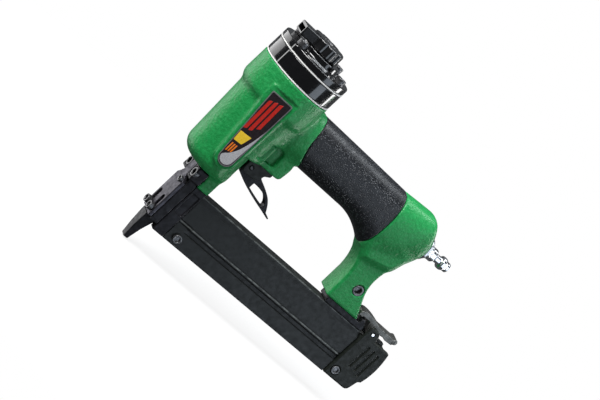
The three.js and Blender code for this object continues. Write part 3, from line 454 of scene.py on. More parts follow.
def relaxed(points, quads, rounds):
    """Points drawn a little towards their neighbours, which takes out the grid's steps."""
    ends = np.concatenate([quads[:, [i, (i + 1) % 4]] for i in range(4)])
    ends = np.concatenate([ends, ends[:, ::-1]])
    count = np.bincount(ends[:, 0], minlength=len(points))[:, None]
    for _ in range(rounds):
        for pull in (0.5, -0.53):
            mean = np.column_stack([np.bincount(ends[:, 0], points[ends[:, 1], k], len(points))
                                    for k in range(3)]) / count
            points = points + pull * (mean - points)
    return points


def make(name, s, distance, body="housing", slot="black_steel", rounds=3, turn=None, at=(0, 0, 0), look=None):
    """Mesh of a distance block."""
    reach = 3 * s.step
    solid = np.empty(s.shape, np.float32)
    solid[...] = np.clip(distance, -reach, reach)
    for edge in (0, -1):
        solid[edge], solid[:, edge], solid[:, :, edge] = reach, reach, reach
    grid = openvdb.FloatGrid(reach)
    grid.copyFromArray(np.ascontiguousarray(solid))
    points, quads = grid.convertToQuads()
    points = relaxed(np.asarray(points, float), np.asarray(quads), rounds) * s.step + s.low
    a, b, c, d = (points[quads[:, k]] for k in range(4))
    if np.einsum("ij,ij->", a, np.cross(b, c) + np.cross(c, d)) < 0:
        quads = quads[:, ::-1]
    mesh = placed(name, points, quads.tolist(), turn, at)
    mesh.polygons.foreach_set("use_smooth", [True] * len(quads))
    finish_piece(name, mesh, body, slot, look)


def facing(axis):
    """Turn that carries +Z onto an axis."""
    return Vector((0, 0, 1)).rotation_difference(Vector(axis))


def skin(name, rings, body="housing", slot="black_steel", nodes=None, closed=False, turn=None, at=(0, 0, 0),
         look=None, smooth=True):
    """Mesh through rings of points. closed joins the last ring to the first, else each end gets a face."""
    rings = np.array(rings, float)
    count, sides = rings.shape[:2]
    points = rings.reshape(-1, 3)
    faces = []
    for r in range(count if closed else count - 1):
        for i in range(sides):
            j, n = (i + 1) % sides, (r + 1) % count
            faces.append((r * sides + i, r * sides + j, n * sides + j, n * sides + i))
    if not closed:
        for base in (0, (count - 1) * sides):
            plane = [Vector(p) for p in points[base:base + sides]]
            for triangle in tessellate_polygon([plane]):
                faces.append(tuple(base + i for i in triangle))
    mesh = placed(name, points, faces, turn, at)
    mesh.validate()
    fix_normals(mesh)
    mesh.polygons.foreach_set("use_smooth", [smooth] * len(mesh.polygons))
    if smooth:
        mesh.set_sharp_from_angle(angle=math.radians(38))
    return finish_piece(name, mesh, body, slot, look, nodes)


def fix_normals(mesh):
    work = bmesh.new()
    work.from_mesh(mesh)
    bmesh.ops.recalc_face_normals(work, faces=work.faces)
    work.to_mesh(mesh)
    work.free()


def spin(name, profile, sides=96, **rest):
    """Solid of revolution. The outline is [radius, z] points, closed on itself."""
    angles = np.linspace(0, 2 * math.pi, sides, endpoint=False)
    rings = [[(r * math.cos(a), r * math.sin(a), z) for r, z in profile] for a in angles]
    skin(name, rings, closed=True, **rest)


def tube(name, path, radius, **rest):
    """Round wire along a path of points."""
    path = np.array(path, float)
    ahead = np.gradient(path, axis=0)
    ahead /= np.linalg.norm(ahead, axis=1)[:, None]
    first = np.cross(ahead, (0.13, 0.21, 1.0))
    first /= np.linalg.norm(first, axis=1)[:, None]
    second = np.cross(ahead, first)
    angles = np.linspace(0, 2 * math.pi, WIRE_SIDES, endpoint=False)
    rings = [[p + radius * (math.cos(a) * f + math.sin(a) * g) for a in angles]
             for p, f, g in zip(path, first, second)]
    return skin(name, rings, **rest)


def coil(name, radius, length, turns, wire, **rest):
    """Spring with its ends closed flat, along +Z from 0."""
    steps = turns * 24
    path = []
    for i in range(steps + 1):
        share = i / steps
        angle = 2 * math.pi * turns * share
        even = min(1, max(0, (share * (turns + 0.8) - 0.4) / turns))
        path.append((radius * math.cos(angle), radius * math.sin(angle), even * length))
    return tube(name, path, wire, slot="bright_steel", **rest)


def pressed(piece):
    """Gives a spring its own copy of its mesh."""
    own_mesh(piece)


def pin(name, radius, length, facing_axis, at, **rest):
    """Round pin with chamfered ends, centred on its place."""
    half = length / 2
    chamfer = 0.35
    profile = [(0.02, -half), (radius - chamfer, -half), (radius, chamfer - half), (radius, half - chamfer),
               (radius - chamfer, half), (0.02, half)]
    spin(name, profile, 40, turn=facing(facing_axis), at=at, **rest)


def screw(name, head, height, shank, length, at, axis=(0, 0, 1), knurled=True, body="housing"):
    """Socket-head screw: knurled head, hex socket, threaded shank. Its head's top is at its place."""
    s = Space((-head - 0.6, -head - 0.6, -length - 0.6), (head + 0.6, head + 0.6, 0.6), 0.16)
    radius = np.hypot(s.x, s.y)
    angle = np.arctan2(s.y, s.x)
    ribs = 0.1 * (0.5 + 0.5 * np.cos(angle * int(head * 9))) if knurled else 0.0
    top = both(radius - head + ribs * (s.z < -0.75), slab(s.z, -height, 0), 0.35)
    thread = 0.14 * (1 - np.abs((((s.z + 0.13 * angle) / 0.8) % 1) * 2 - 1))
    stem = both(radius - shank + thread, np.maximum(-length - s.z, s.z + height - 0.3), 0.3)
    socket = np.maximum(hexagon(s.x, s.y, head * 1.15), -height * 0.7 - s.z)
    mouth = radius - head * 0.66 + (s.z + 0.1) * -0.9
    whole = carved(either(top, stem, 0.2), (socket, 0.12), (np.maximum(mouth, -0.5 - s.z), 0.1))
    make(name, s, whole, body=body, rounds=1, turn=facing(axis), at=at, look="screw_steel")


# ---- Places and sizes that several pieces share ----

GRIP_REAR = 135.5
HANDLE_HALF = 18.0
VALVE_X = 34.0
HOOD_X = -2.0
INLET_FACE, INLET_HEIGHT = 181.0, 147
BOLTS = {"front_left": -150, "rear_left": -60, "rear_right": 30, "front_right": 120}  # degrees round the cap
BOLT_CIRCLE = 27.5
BOLT_HOLE = 2.8
PIN_HOLE = 1.8
# Across and up
CLAMP_Y, CLAMP_Z = 5.5, 32
MOUNT_Y, MOUNT_Z = 9.6, 74.5
ROD_Y, ROD_Z = 4, 45
# Along and up
ARM_SCREW = 165.4, 88.5
COVER_SCREW = 205.3, 28
TRIGGER_PIN = 24.5, 105
LATCH_PIN = 204.6, 69.5

# ---- Handle shape, shared by the casting and the grip ----


def handle_levels(x):
    """Top, bottom and half width of the handle's oval at each x, from the barrel to the rear end."""
    flare = np.clip((x - 100) / (GRIP_REAR - 100), 0, 1)
    along = np.clip(x - GRIP_REAR, 0, 47)
    share = np.minimum(1, along / 32)
    top = 170.5 - 0.012 * (np.minimum(x, GRIP_REAR) - 40) + 3 * share
    bottom = 127.5 - 12 * flare ** 2 + 13 * share
    drawn = np.sqrt(1 - (np.maximum(0, along - 22) / 34) ** 2)
    return top, bottom, HANDLE_HALF * drawn


def handle(s, inset):
    """Distance to the handle's oval skin, drawn in by inset."""
    power = 2.3
    top, bottom, half = (level.astype(np.float32) for level in handle_levels(s.x))
    tall = np.maximum((top - bottom) / 2 - inset, 0.3)
    wide = np.maximum(half - inset, 0.3)
    u = np.abs(s.y) / wide
    v = np.abs(s.z - (top + bottom) / 2) / tall
    reach = np.maximum((u ** power + v ** power) ** (1 / power), 1e-3)
    slope = np.hypot((u / reach) ** (power - 1) / wide, (v / reach) ** (power - 1) / tall)
    return (reach - 1) / np.maximum(slope, 1 / 60)


def grip_line(offset):
    """Outline of everything ahead of the curved line where the rubber grip starts."""
    low, middle, high = 54.5 + offset, 38 + offset, 41 + offset
    return course((-60, 60), (60 + offset, 60), (low, 122), [(47 + offset, 134), (middle, 142), (middle, 158)],
                  [(middle, 164), (39 + offset, 170), (high, 176), 5], (high, 190), (-60, 190))


# ---- Casting ----

PLATE_TURN = math.radians(-15.5)
PLATE_LEAN = math.radians(-3.0)
PLATE_SEAT = 30.4
PLATE_MIDDLE = 129.9


def plate_outline(bottom, top, low_half, high_half):
    """Name plate's outline: square at the top, round at its narrow foot."""
    low = bottom + low_half
    foot = arc(0, low, low_half, math.pi, 2 * math.pi, 17)
    sides = soft([(0, bottom, 0), (high_half, low, 0), (high_half, top), (-high_half, top), (-high_half, low, 0)],
                 1.2)
    crown = [p for p in sides if p[1] > top - 5]
    return crown + foot


def flank(x, y, z):
    """Coordinates along, across and up the name plate's plane, for every point."""
    level = x * math.cos(PLATE_TURN) + y * math.sin(PLATE_TURN)
    across = -x * math.sin(PLATE_TURN) + y * math.cos(PLATE_TURN)
    z = z - PLATE_MIDDLE
    along = level * math.cos(PLATE_LEAN) - z * math.sin(PLATE_LEAN)
    rise = level * math.sin(PLATE_LEAN) + z * math.cos(PLATE_LEAN) + PLATE_MIDDLE
    return along, across, rise


def on_flank(points, depth):
    """Plate-plane points [along, rise] at a depth outward from the axis, as (x, y, z) rows."""
    along, rise = np.array(points, float).T
    rise = rise - PLATE_MIDDLE
    x = along * math.cos(PLATE_LEAN) + rise * math.sin(PLATE_LEAN)
    z = -along * math.sin(PLATE_LEAN) + rise * math.cos(PLATE_LEAN) + PLATE_MIDDLE
    y = -depth
    return np.column_stack([x * math.cos(PLATE_TURN) - y * math.sin(PLATE_TURN),
                            x * math.sin(PLATE_TURN) + y * math.cos(PLATE_TURN), z])


def barrel(s):
    foot = arc(25.8 - 12, 93, 12, -math.pi / 2, 0, 9)
    profile = course((-9, 81), *foot, (28.5, 144), [(28.5, 151), (32.3, 150), (32.3, 157)], (32.3, 176.2),
                     (32.0, 176.5), (-9, 176.5))
    whole = lathe(s, profile)
    tangent = math.asin(19.4 / 27)
    back = arc(0, 0, 19.4, -tangent, tangent, 12)
    section = outline(s.x, s.y, [(-60, -27), (0, -27)] + back + [(0, 27), (-60, 27)])
    low = both(both(whole, section, 3.0), s.z - 111.9, 0.2)
    return either(low, both(whole, 111.5 - s.z, 1.0), 0.6)


def valve_housing(s):
    points = course((6, 111.5), (42, 111.5), [(46.5, 111.5), (46.5, 116), 6], (47, 124), [(45, 134), (42, 146)],
                    (6, 146))
    return prism(s, points, 12.5, 1.6)


def pocket(s):
    """Lightening pockets in both flanks of the valve housing, where it meets the barrel."""
    edge = [(12.5, 116.3), (34, 116.3), (34.5, 119), (34, 129), (31, 131.5), (12.5, 131.5)]
    sides = outline(s.x, s.z, soft(edge, 1.5))
    return np.maximum(both(sides, 9.4 - np.abs(s.y), 0.6), 25.4 - np.hypot(s.x, s.y))


def pocket_boss(s):
    across = np.hypot(s.x - 20.3, np.abs(s.y) - 14.8) - 3.4
    return both(across, slab(s.z, 115, 130.5), 1.2)


def rear_arm(s):
    front = GRIP_REAR + 0.3
    points = course((front, 118), [(147, 106), (148, 90)], (148.5, 69.5), (184.5, 69.5), (175.5, 85),
                    [(165.5, 100), (172.5, 120)], (178, 140), (150, 150), (front, 140))
    arm = prism(s, points, 11.0, 2.2)
    knee = prism(s, soft([(front, 122), (144, 110), (171.5, 116), (176, 134), (150, 146)], 4), 14.5, 5.0)
    rear = [(120, 90), (175, 90), (178.5, 120), (181, 135), (181.6, 143), (180, 152), (177, 160.5), (172, 169.5, 3),
            (168, 172.6, 3), (120, 172.6)]
    dome = both(handle(s, 0.0), outline(s.x, s.z, soft(rear, 2.0)), 5.0)
    dome = both(dome, front - s.x, 0.9)
    land = bar(s, 0, (0, INLET_HEIGHT), 11.4, 160, INLET_FACE, 0.5)
    return either(either(either(dome, land, 2.0), knee, 5.0), arm, 3.5)


def casting():
    s = Space((-33.5, -34, 65), (187.5, 34, 178.5), 0.86)
    ahead = outline(s.x, s.z, grip_line(0.0))
    body = barrel(s)
    near = slice(0, int(70 / s.step))
    along, across, rise = flank(s.x[near], s.y, s.z)
    sheet = outline(along, rise, plate_outline(93.4, 166.4, 9, 12.2))
    pad = either(body[near], both(sheet, slab(across, -PLATE_SEAT, -15), 1.0), 2.5)
    body[near] = without(pad, np.maximum(sheet, across + PLATE_SEAT), 0.5)
    fairing = both(handle(s, -0.8), ahead, 0.9)
    body = either(body, both(fairing, slab(s.x, 5, 60), 0.2), 4.0)
    body = either(body, both(valve_housing(s), ahead, 0.9), 3.0)
    body = either(without(body, pocket(s), 0.7), pocket_boss(s), 0.9)
    body = either(body, wide_box(s, 3, 14.5, 13, 67, 92, 1.6), 3.0)
    core = both(handle(s, 2.9), slab(s.x, 10, GRIP_REAR + 2), 0.2)
    body = either(body, core, 0.4)
    body = either(body, rear_arm(s), 0.4)
    arm_x, arm_z = ARM_SCREW
    cuts = [(both(post(s, 0, 0, 23.5), slab(s.z, 118, 182), 0.2), 0.4),
            (both(post(s, 0, 0, 17.4), slab(s.z, 88, 119), 0.2), 0.4),
            (both(post(s, 0, 0, 6), s.z - 89, 0.2), 0.4),
            (both(handle(s, 6.5), slab(s.x, 15, 157), 0.5), 0.5),
            (bar(s, 0, (0, INLET_HEIGHT), 10.5, 155, 169), 0.5),
            (bar(s, 0, (0, INLET_HEIGHT), 8.0, 155, 190), 0.5),
            (box(s, (INLET_FACE, -30, 130), (200, 30, 165), 0.2), 0.3),
            (both(post(s, VALVE_X, 0, 6.8), slab(s.z, 110, 140), 0.2), 0.4)]
    cuts += [(both(post(s, *upright(angle, BOLT_CIRCLE), BOLT_HOLE), 158 - s.z, 0.2), 0.3)
             for angle in BOLTS.values()]
    cuts += [(bar(s, 0, (side * MOUNT_Y, MOUNT_Z), BOLT_HOLE, -2, 13), 0.3) for side in (-1, 1)]
    cuts += [(wide_box(s, 155.5, 170.4, 3.3, 60, 93.8, 0.2), 0.5),
             (bar(s, 1, ARM_SCREW, BOLT_HOLE, -14, 14), 0.3),
             (bar(s, 1, ARM_SCREW, 5.0, -14, -6.2), 0.5),
             (both(hexagon(s.x - arm_x, s.z - arm_z, 9.2), 6.6 - s.y, 0.2), 0.5)]
    body = carved(body, *cuts)
    make("body_casting", s, body, slot="green_paint")


def grip():
    s = Space((32, -19.5, 115), (142, 19.5, 172.5), 0.62)
    shell = without(handle(s, 0.0), handle(s, 2.5), 0.3)
    behind = -outline(s.x, s.z, grip_line(0.3))
    shell = both(shell, behind, 0.9)
    make("rubber_grip", s, both(shell, s.x - GRIP_REAR + 0.3, 0.9), slot="grip_rubber")


# ---- Cap, exhaust and head valve ----


def cap_pieces():
    s = Space((-33.5, -33.5, 177), (33.5, 33.5, 191.8), 0.4)
    ring = lathe(s, soft([(25, 178, 0.2), (32, 178), (32, 190.9), (25, 190.9, 0.2)], 0.5, 4))
    rib = post(s, *upright(BOLTS["front_left"], 31.3), 1.5)
    ring = either(ring, both(rib, slab(s.z, 178, 190.9), 0.4), 0.5)
    for angle in BOLTS.values():
        ring = without(ring, post(s, *upright(angle, BOLT_CIRCLE), BOLT_HOLE), 0.2)
    make("cylinder_cap", s, ring, slot="black_gloss")

    s = Space((-33.5, -33.5, 191.5), (33.5, 33.5, 204), 0.4)
    step = soft([(-5, 192.4, 0), (32, 192.4, 0.5), (32, 197.7, 1.0), (17.4, 197.7, 2.2), (17.4, 202.7, 0.9),
                 (-5, 202.7, 0)], 0.5, 6)
    cover = lathe(s, step)
    rib = post(s, *upright(BOLTS["front_left"], 31.3), 1.5)
    cover = either(cover, both(rib, slab(s.z, 192.4, 196.9), 0.5), 0.5)
    cover = without(cover, both(post(s, 0, 0, 24), s.z - 195.2, 0.3), 0.3)
    for angle in BOLTS.values():
        cover = without(cover, post(s, *upright(angle, BOLT_CIRCLE), BOLT_HOLE), 0.2)
    for angle in (45, 135, 225, 315):
        cover = without(cover, post(s, *upright(angle, 9), 2.4), 0.3)
    cover = without(cover, post(s, HOOD_X, 0, BOLT_HOLE), 0.2)
    make("cap_cover", s, cover, slot="black_gloss")
    for name, bottom in (("cap_gasket", 176.75), ("cover_gasket", 191.15)):
        spin(name, soft([(25.3, bottom), (32.15, bottom), (32.15, bottom + 1), (25.3, bottom + 1)], 0.25, 3), 128,
             slot="seal_white")
    for corner, angle in BOLTS.items():
        screw("cap_bolt_" + corner, 4.2, 4.7, 2.5, 43.5, (*upright(angle, BOLT_CIRCLE), 202.7))


def exhaust_hood():
    s = Space((-27, -16, 202), (16, 16, 213.2), 0.34)
    reach = 14.2 + 0.7 * np.cos(8 * np.arctan2(s.y, s.x)) - 0.35 * np.cos(16 * np.arctan2(s.y, s.x))
    chamber = both(post(s, 0, 0, reach) * 0.9, slab(s.z, 203, 212.3), 1.1)
    outlet = wide_box(s, -26, 0, 7, 203, 211.3, 0.8)
    hood = either(chamber, outlet, 0.9)
    hollow = without(both(post(s, 0, 0, 11.9), s.z - 208.8, 0.5), post(s, 0, 0, 5), 0.5)
    hood = carved(hood, (hollow, 0.3), (wide_box(s, -30, -11.7, 5.2, 204.8, 208.8, 0.4), 0.4),
                  (post(s, 0, 0, BOLT_HOLE), 0.2), (both(post(s, 0, 0, 5.4), 209.1 - s.z, 0.3), 0.5))
    make("exhaust_deflector", s, hood, body="exhaust_hood", slot="black_gloss", at=(HOOD_X, 0, 0), rounds=2,
         look="hood_black")
    screw("deflector_screw", 4.6, 2.7, 2.5, 14, (HOOD_X, 0, 212.1))


def inner_works():
    """Sleeve, piston, seals and the head valve, inside the barrel and the cap."""
    spin("cylinder_sleeve", soft([(14.8, 88.3), (17.1, 88.3), (17.1, 92.3), (16.6, 92.3), (16.6, 168.5),
                                  (23.2, 168.5), (23.2, 172.5), (14.8, 172.5)], 0.4, 3), slot="bare_aluminium")
    spin("bumper", soft([(6.5, 88.6), (14.4, 88.6), (14.4, 93.6), (12.5, 97), (7.5, 97), (6.5, 93.6)], 0.8, 4),
         slot="seal_rubber")
    spin("piston", soft([(0.02, 152, 0), (6, 152), (6, 158), (14.5, 158), (14.5, 162.6), (12.3, 162.6),
                         (12.3, 165.8), (14.5, 165.8), (14.5, 170), (8, 170), (6, 166), (0.02, 166, 0)], 0.5, 3),
         slot="bare_aluminium", body="driver")
    spin("piston_ring", arc(13.55, 164.2, 1.0, 0, 2 * math.pi, 17)[:-1], slot="seal_rubber", body="driver")
    spin("head_valve", soft([(8, 173), (22.6, 173), (22.6, 178), (24.5, 179), (24.5, 187), (20.5, 187),
                             (20.5, 184), (8, 184)], 0.6, 4), slot="seal_rubber", body="head_valve")
    spring = coil("head_valve_spring", 18.2, 8.8, 3, 0.8, at=(0, 0, 185.3))
    pressed(spring)
    s = Space((-3.8, -3.1, 58), (-2.2, 3.1, 161), 0.13)
    blade = box(s, (-3.4, -2.5, 59), (-2.6, 2.5, 160), 0.12)
    make("driver_blade", s, blade, body="driver", slot="bright_steel", rounds=1)


# ---- Name plate ----


def plate_layer(name, points, low, high, look, nodes=()):
    """Thin flat shape on the name plate's plane, its upper edge bevelled."""
    bevel = 0.12
    centre = np.mean(points, axis=0)
    small = [tuple(p + (centre - p) * bevel / max(np.linalg.norm(p - centre), 1)) for p in np.array(points)]
    rings = [on_flank(points, low), on_flank(points, high - bevel), on_flank(small, high)]
    skin(name, rings, slot="plate_print", nodes=nodes, look=look)


def name_plate():
    seat = PLATE_SEAT + 0.3
    rim = plate_outline(96.4, 163.4, 6.6, 9.6)
    plate_layer("name_plate", rim, seat, seat + 0.75, "plate_rim", ["name_plate"])
    plate_layer("plate_field", plate_outline(97.3, 162.5, 5.9, 8.8), seat + 0.5, seat + 0.86, "plate_print")
    inner = plate_outline(97.2, 162.6, 6.0, 8.9)
    rows = [on_flank(rim, seat + 0.6), on_flank(rim, seat + 0.95), on_flank(inner, seat + 1.05),
            on_flank(inner, seat + 0.7)]
    skin("plate_rim", np.swapaxes(np.array(rows), 0, 1), slot="plate_print", nodes=[], closed=True,
         look="plate_rim")
    foot = arc(0, 103.1, 5.3, math.pi, 2 * math.pi, 15)
    ink_span = seat + 0.7, seat + 0.98
    sweep = bend((8.5, 144), (6.5, 124), (2.5, 107), (-5.3, 104.4), steps=14)
    plate_layer("plate_swoosh", foot + [(7.6, 130), (8.5, 144)] + sweep[:-1], *ink_span, "plate_silver")
    for i in range(3):
        x = -5.6 + 1.9 * i
        points = [(x, 106.9 + 0.5 * i), (x + 1.1, 107.2 + 0.5 * i), (x + 1.5, 115), (x + 0.4, 114.7)]
        plate_layer("plate_orange_%d" % i, points, *ink_span, "plate_orange")
    points = [(-6.3, 117), (0.9, 117.6), (3.2, 126.2), (-6.7, 125.4)]
    plate_layer("plate_yellow", soft(points, 0.6, 3), *ink_span, "plate_yellow")
    for i, (low, high) in enumerate(((128.0, 156.5), (129.0, 158.0), (133.5, 159.0))):
        x = -7.3 + 4.0 * i
        points = [(x, low), (x + 2.7, low + 1.6), (x + 3.1, high + 0.8), (x + 0.4, high - 0.8)]
        plate_layer("plate_red_%d" % i, soft(points, 0.5, 3), *ink_span, "plate_red")


# ---- Nose ----


def nose():
    s = Space((-9, -15, -1), (6, 15, 82), 0.3)
    guide = wide_box(s, -3.7, 3.6, 10, 25, 66.5, 0.5)
    flange = wide_box(s, -7.4, 2.7, 14, 68, 80.5, 1.3)
    neck = wide_box(s, -3.7, 2.7, 10, 64, 72, 0.3)
    z = s.z[0, 0]
    front, rear, half = (np.interp(z, (0, 12, 26), row).astype(np.float32)[None, None, :]
                         for row in ((-5.4, -6.7, -7.2), (-1.2, 0.4, 3.6), (3.5, 4.6, 6.2)))
    tip = both(slab(s.x, front, rear), np.abs(s.y) - half, 0.6)
    tip = both(tip, slab(s.z, 0, 26.0), 0.25)
    body = either(either(guide, tip, 0.3), either(flange, neck, 0.8), 0.5)
    cuts = [(box(s, (-4.1, -2.8, 26), (-2.35, 2.8, 84), 0.1), 0.15),
            (box(s, (-3.65, -2.8, -3), (-2.35, 2.8, 27), 0.1), 0.15),
            (box(s, (-2.45, -3, 33), (7, 3, 58.6), 0.2), 0.2),
            (box(s, (-20, -10.3, 26.0), (-3.7, 10.3, 68), 0.2), 0.2),
            (box(s, (-20, -5.3, 67), (-3.7, 5.3, 84), 0.3), 0.3),
            (bar(s, 0, (-6.4, 63), 1.7, -9, 1.3), 0.2)]
    for side in (-1, 1):
        cuts += [(bar(s, 0, (side * CLAMP_Y, CLAMP_Z), 2.1, -9, 2.8), 0.2),
                 (bar(s, 0, (side * MOUNT_Y, MOUNT_Z), BOLT_HOLE, -9, 4), 0.2),
                 (bar(s, 0, (side * MOUNT_Y, MOUNT_Z), 4.4, -9, -2.9), 0.4)]
    body = carved(body, *cuts)
    make("nose_body", s, body, rounds=2)

    s = Space((-8.4, -11, 25.3), (-2.8, 11, 81), 0.28)
    slope = (np.abs(s.y) + s.z - 72) * 0.7
    plate = both(wide_box(s, -7.4, -4, 10, 26.3, 67, 0.7), slope, 0.4)
    plate = either(plate, wide_box(s, -7.4, -4, 5, 60, 80, 0.6), 1.6)
    key = wide_box(s, -5, -3.65, 2.5, 26.3, 79, 0.15)
    plate = either(plate, key, 0.1)
    for side in (-1, 1):
        slot = np.hypot(s.y - side * CLAMP_Y, s.z - np.clip(s.z, 31, 43)) - 2.2
        plate = without(plate, slot, 0.35)
    plate = without(plate, np.hypot(s.y + 6.4, s.z - 63) - 1.7, 0.2)
    make("nose_front_plate", s, plate, slot="grey_steel", rounds=2)
    for side, sign in (("left", -1), ("right", 1)):
        screw("nose_clamp_screw_" + side, 3.4, 3.6, 1.9, 13.8, (-11.3, sign * CLAMP_Y, CLAMP_Z), (-1, 0, 0))
        screw("nose_mount_screw_" + side, 4.1, 4.0, 2.5, 19, (-7.2, sign * MOUNT_Y, MOUNT_Z), (-1, 0, 0))
    screw("nose_plate_screw", 2.6, 2.4, 1.5, 11, (-10.1, -6.4, 63), (-1, 0, 0))


# ---- Magazine ----


def magazine_head():
    s = Space((3, -10.5, 19), (16, 10.5, 67.5), 0.3)
    block = wide_box(s, 3.9, 15, 9.5, 20, 66.5, 0.8)
    block = without(block, box(s, (0, -3.2, 10), (17, 3.2, 58.3), 0.2), 0.3)
    panel = both(outline(s.x, s.z, soft([(6.3, 41), (13.3, 41), (13.3, 61), (6.3, 61)], 1.2)),
                 8.7 - np.abs(s.y), 0.3)
    make("magazine_head", s, without(block, panel, 0.4), rounds=2)


def magazine_section(bead, inset=0.0):
    """Right half of the rail housing's outline as [y, z], with the side bead between 0 and 1."""
    out = 8.3 + bead * 1.1 - inset
    groove = 8.3 - bead * 0.3 - inset
    return [(5.2, 20 + inset), (8.6 - inset, 20 + inset), (9 - inset, 20.5 + inset), (9 - inset, 32.4),
            (8.8 - inset, 32.9), (groove, 33.6), (groove, 36.4), (out - 0.25, 37.0), (out, 37.5), (out, 39.2),
            (out - 0.3, 39.8), (8.5 - inset, 40.4), (8.4 - inset, 41), (8.4 - inset, 58.6), (8.1 - inset, 59.4),
            (6.9 - inset, 61.8), (6.6 - inset, 62.6), (6.5 - inset, 63.6 - inset), (6.1 - inset, 64 - inset)]


def magazine_housing():
    inside = [(0.0, 58.0), (5.9, 58), (6.4, 57.5), (6.4, 22.0), (6.2, 21.7), (5.4, 21.7), (5.2, 21.5)]
    rings = []
    stations = [(15.3, 0, 0.35), (15.65, 0, 0), (25, 0, 0), (26.2, 0.35, 0), (27.5, 0.85, 0), (29, 1, 0)]
    stations += [(x, 1, 0) for x in np.linspace(34, 192, 28)]
    stations += [(195.5, 1, 0), (196.5, 0.85, 0), (197.3, 0.2, 0), (198.15, 0, 0), (198.5, 0, 0.35)]
    for x, bead, inset in stations:
        right = magazine_section(bead, inset)
        loop = right + [(0, 64 - inset)] + [(-y, z) for y, z in reversed(right)]
        loop += [(-y, z) for y, z in reversed(inside[1:])] + inside
        rings.append([(x, y, z) for y, z in loop])
    skin("magazine_housing", rings, slot="black_satin", look="magazine_paint")


def bracket():
    s = Space((151.5, -9, 63.3), (197.5, 9, 99), 0.4)
    foot = soft([(153, 64.3), (196, 64.3), (196, 68), (192.5, 73.2), (189.5, 73.2), (189.5, 69.2), (153, 69.2)], 0.8)
    whole = either(prism(s, foot, 8, 0.5), wide_box(s, 156, 170, 3, 67, 93.4, 0.6), 0.6)
    make("magazine_bracket", s, without(whole, crossbar(s, *ARM_SCREW, BOLT_HOLE), 0.2), rounds=2)


def fasteners():
    for side, sign in (("left", -1), ("right", 1)):
        screw("magazine_screw_" + side, 3.7, 2.2, 1.9, 4.6, (24.5, sign * 11.5, 26.5), (0, sign, 0), False)
        cover = (COVER_SCREW[0], sign * 11.6, COVER_SCREW[1])
        screw("cover_screw_" + side, 3.7, 2.0, 1.9, 4.6, cover, (0, sign, 0), False, "drawer")
    arm_x, arm_z = ARM_SCREW
    screw("arm_screw", 4.6, 4.2, 2.5, 19.5, (arm_x, -10.7, arm_z), (0, -1, 0))
    s = Space((-5.5, -5.5, -0.6), (5.5, 5.5, 4.4), 0.2)
    nut = both(hexagon(s.x, s.y, 8), slab(s.z, 0, 3.8), 0.2)
    nut = both(nut, post(s, 0, 0, 4.55) + 0.6 * np.maximum(s.z - 3.2, 0), 0.2)
    make("arm_nut", s, without(nut, post(s, 0, 0, BOLT_HOLE), 0.3), turn=facing((0, 1, 0)), at=(arm_x, 6.9, arm_z),
         rounds=1)


def drawer():
    s = Space((3.5, -7, 21), (199.5, 7, 57.5), 0.5)
    rail = either(wide_box(s, 4.5, 198.5, 1.6, 23, 56.6, 0.5), wide_box(s, 16, 198.5, 6.1, 22, 24.2, 0.5), 0.8)
    make("inner_rail", s, rail, body="drawer", slot="bright_steel", rounds=2)
    strip_rings = []
    profile = [(2.55, 35.6), (2.55, 57.2), (2.2, 57.6), (-2.2, 57.6), (-2.55, 57.2), (-2.55, 35.6), (-1.9, 35.6),
               (-1.9, 56.95), (1.9, 56.95), (1.9, 35.6)]
    pitch = 1.25
    first, last = -2.1, 95.7
    for i in range(int((last - first) / pitch)):
        start = first + i * pitch
        for x, inset in ((start, 0.09), (start + 0.12, 0), (start + pitch - 0.12, 0)):
            row = [(x, y - math.copysign(inset, y) * (abs(y) > 2), z - inset * (z > 57)) for y, z in profile]
            strip_rings.append(row)
    skin("staple_strip", strip_rings, body="drawer", slot="bare_aluminium")
    pin("pusher_rod", 1.0, 178.5, (1, 0, 0), (109.25, ROD_Y, ROD_Z), body="drawer", slot="bright_steel")
    spring = coil("pusher_spring", 1.6, 78.9, 12, 0.3, body="drawer", turn=facing((1, 0, 0)),
                  at=(118.7, ROD_Y, ROD_Z))
    pressed(spring)
    s = Space((95, -6.8, 25), (119, 6.8, 58.6), 0.32)
    body = wide_box(s, 96, 118, 6, 26, 57.7, 0.6)
    body = carved(body, (box(s, (90, -1.9, 20), (122, 1.9, 56.8), 0.2), 0.3),
                  (np.hypot(s.y - ROD_Y, s.z - ROD_Z) - 1.35, 0.2), (box(s, (90, 1, 20), (122, 8, 38), 0.2), 0.4))
    make("pusher", s, body, body="pusher", slot="black_plastic", rounds=2)


def rear_cover():
    s = Space((197.8, -12.2, 19.6), (233.4, 12.2, 75), 0.4)
    points = course((198.8, 20.6), (222, 20.6), (224.5, 20.9), (226.2, 22.4), (226.9, 24.4), (228.2, 31.3),
                    (229.2, 32.4), (230.6, 33), [(234.2, 48), (229, 65.3), 14], (228.3, 65.5), (212.4, 65.6))
    points += bend((211.6, 67), (210.8, 74), (206, 74), steps=6) + [(198.8, 74)]
    shell = prism(s, points, 11, 1.3)
    out = np.abs(s.y)
    for x, low, high in ((211.3, 38, 59), (217.2, 38, 59), (222.9, 36, 58)):
        groove = np.hypot(s.x - x, s.z - np.clip(s.z, low, high)) - 0.85
        shell = without(shell, np.maximum(groove, 10.0 - out), 0.35)
    recess, hole = crossbar(s, *COVER_SCREW, 4.2), crossbar(s, *COVER_SCREW, 2.1)
    shell = carved(shell, (wide_box(s, 190, 240, 6.3, 63.5, 80, 0.6), 0.5),
                   (wide_box(s, 190, 203, 9.5, 62, 80, 0.3), 0.4), (crossbar(s, *LATCH_PIN, PIN_HOLE), 0.2),
                   (np.maximum(recess, 9.3 - out), 0.3), (np.maximum(hole, 6 - out), 0.2))
    make("rear_cover", s, shell, body="drawer", slot="black_plastic", rounds=2)


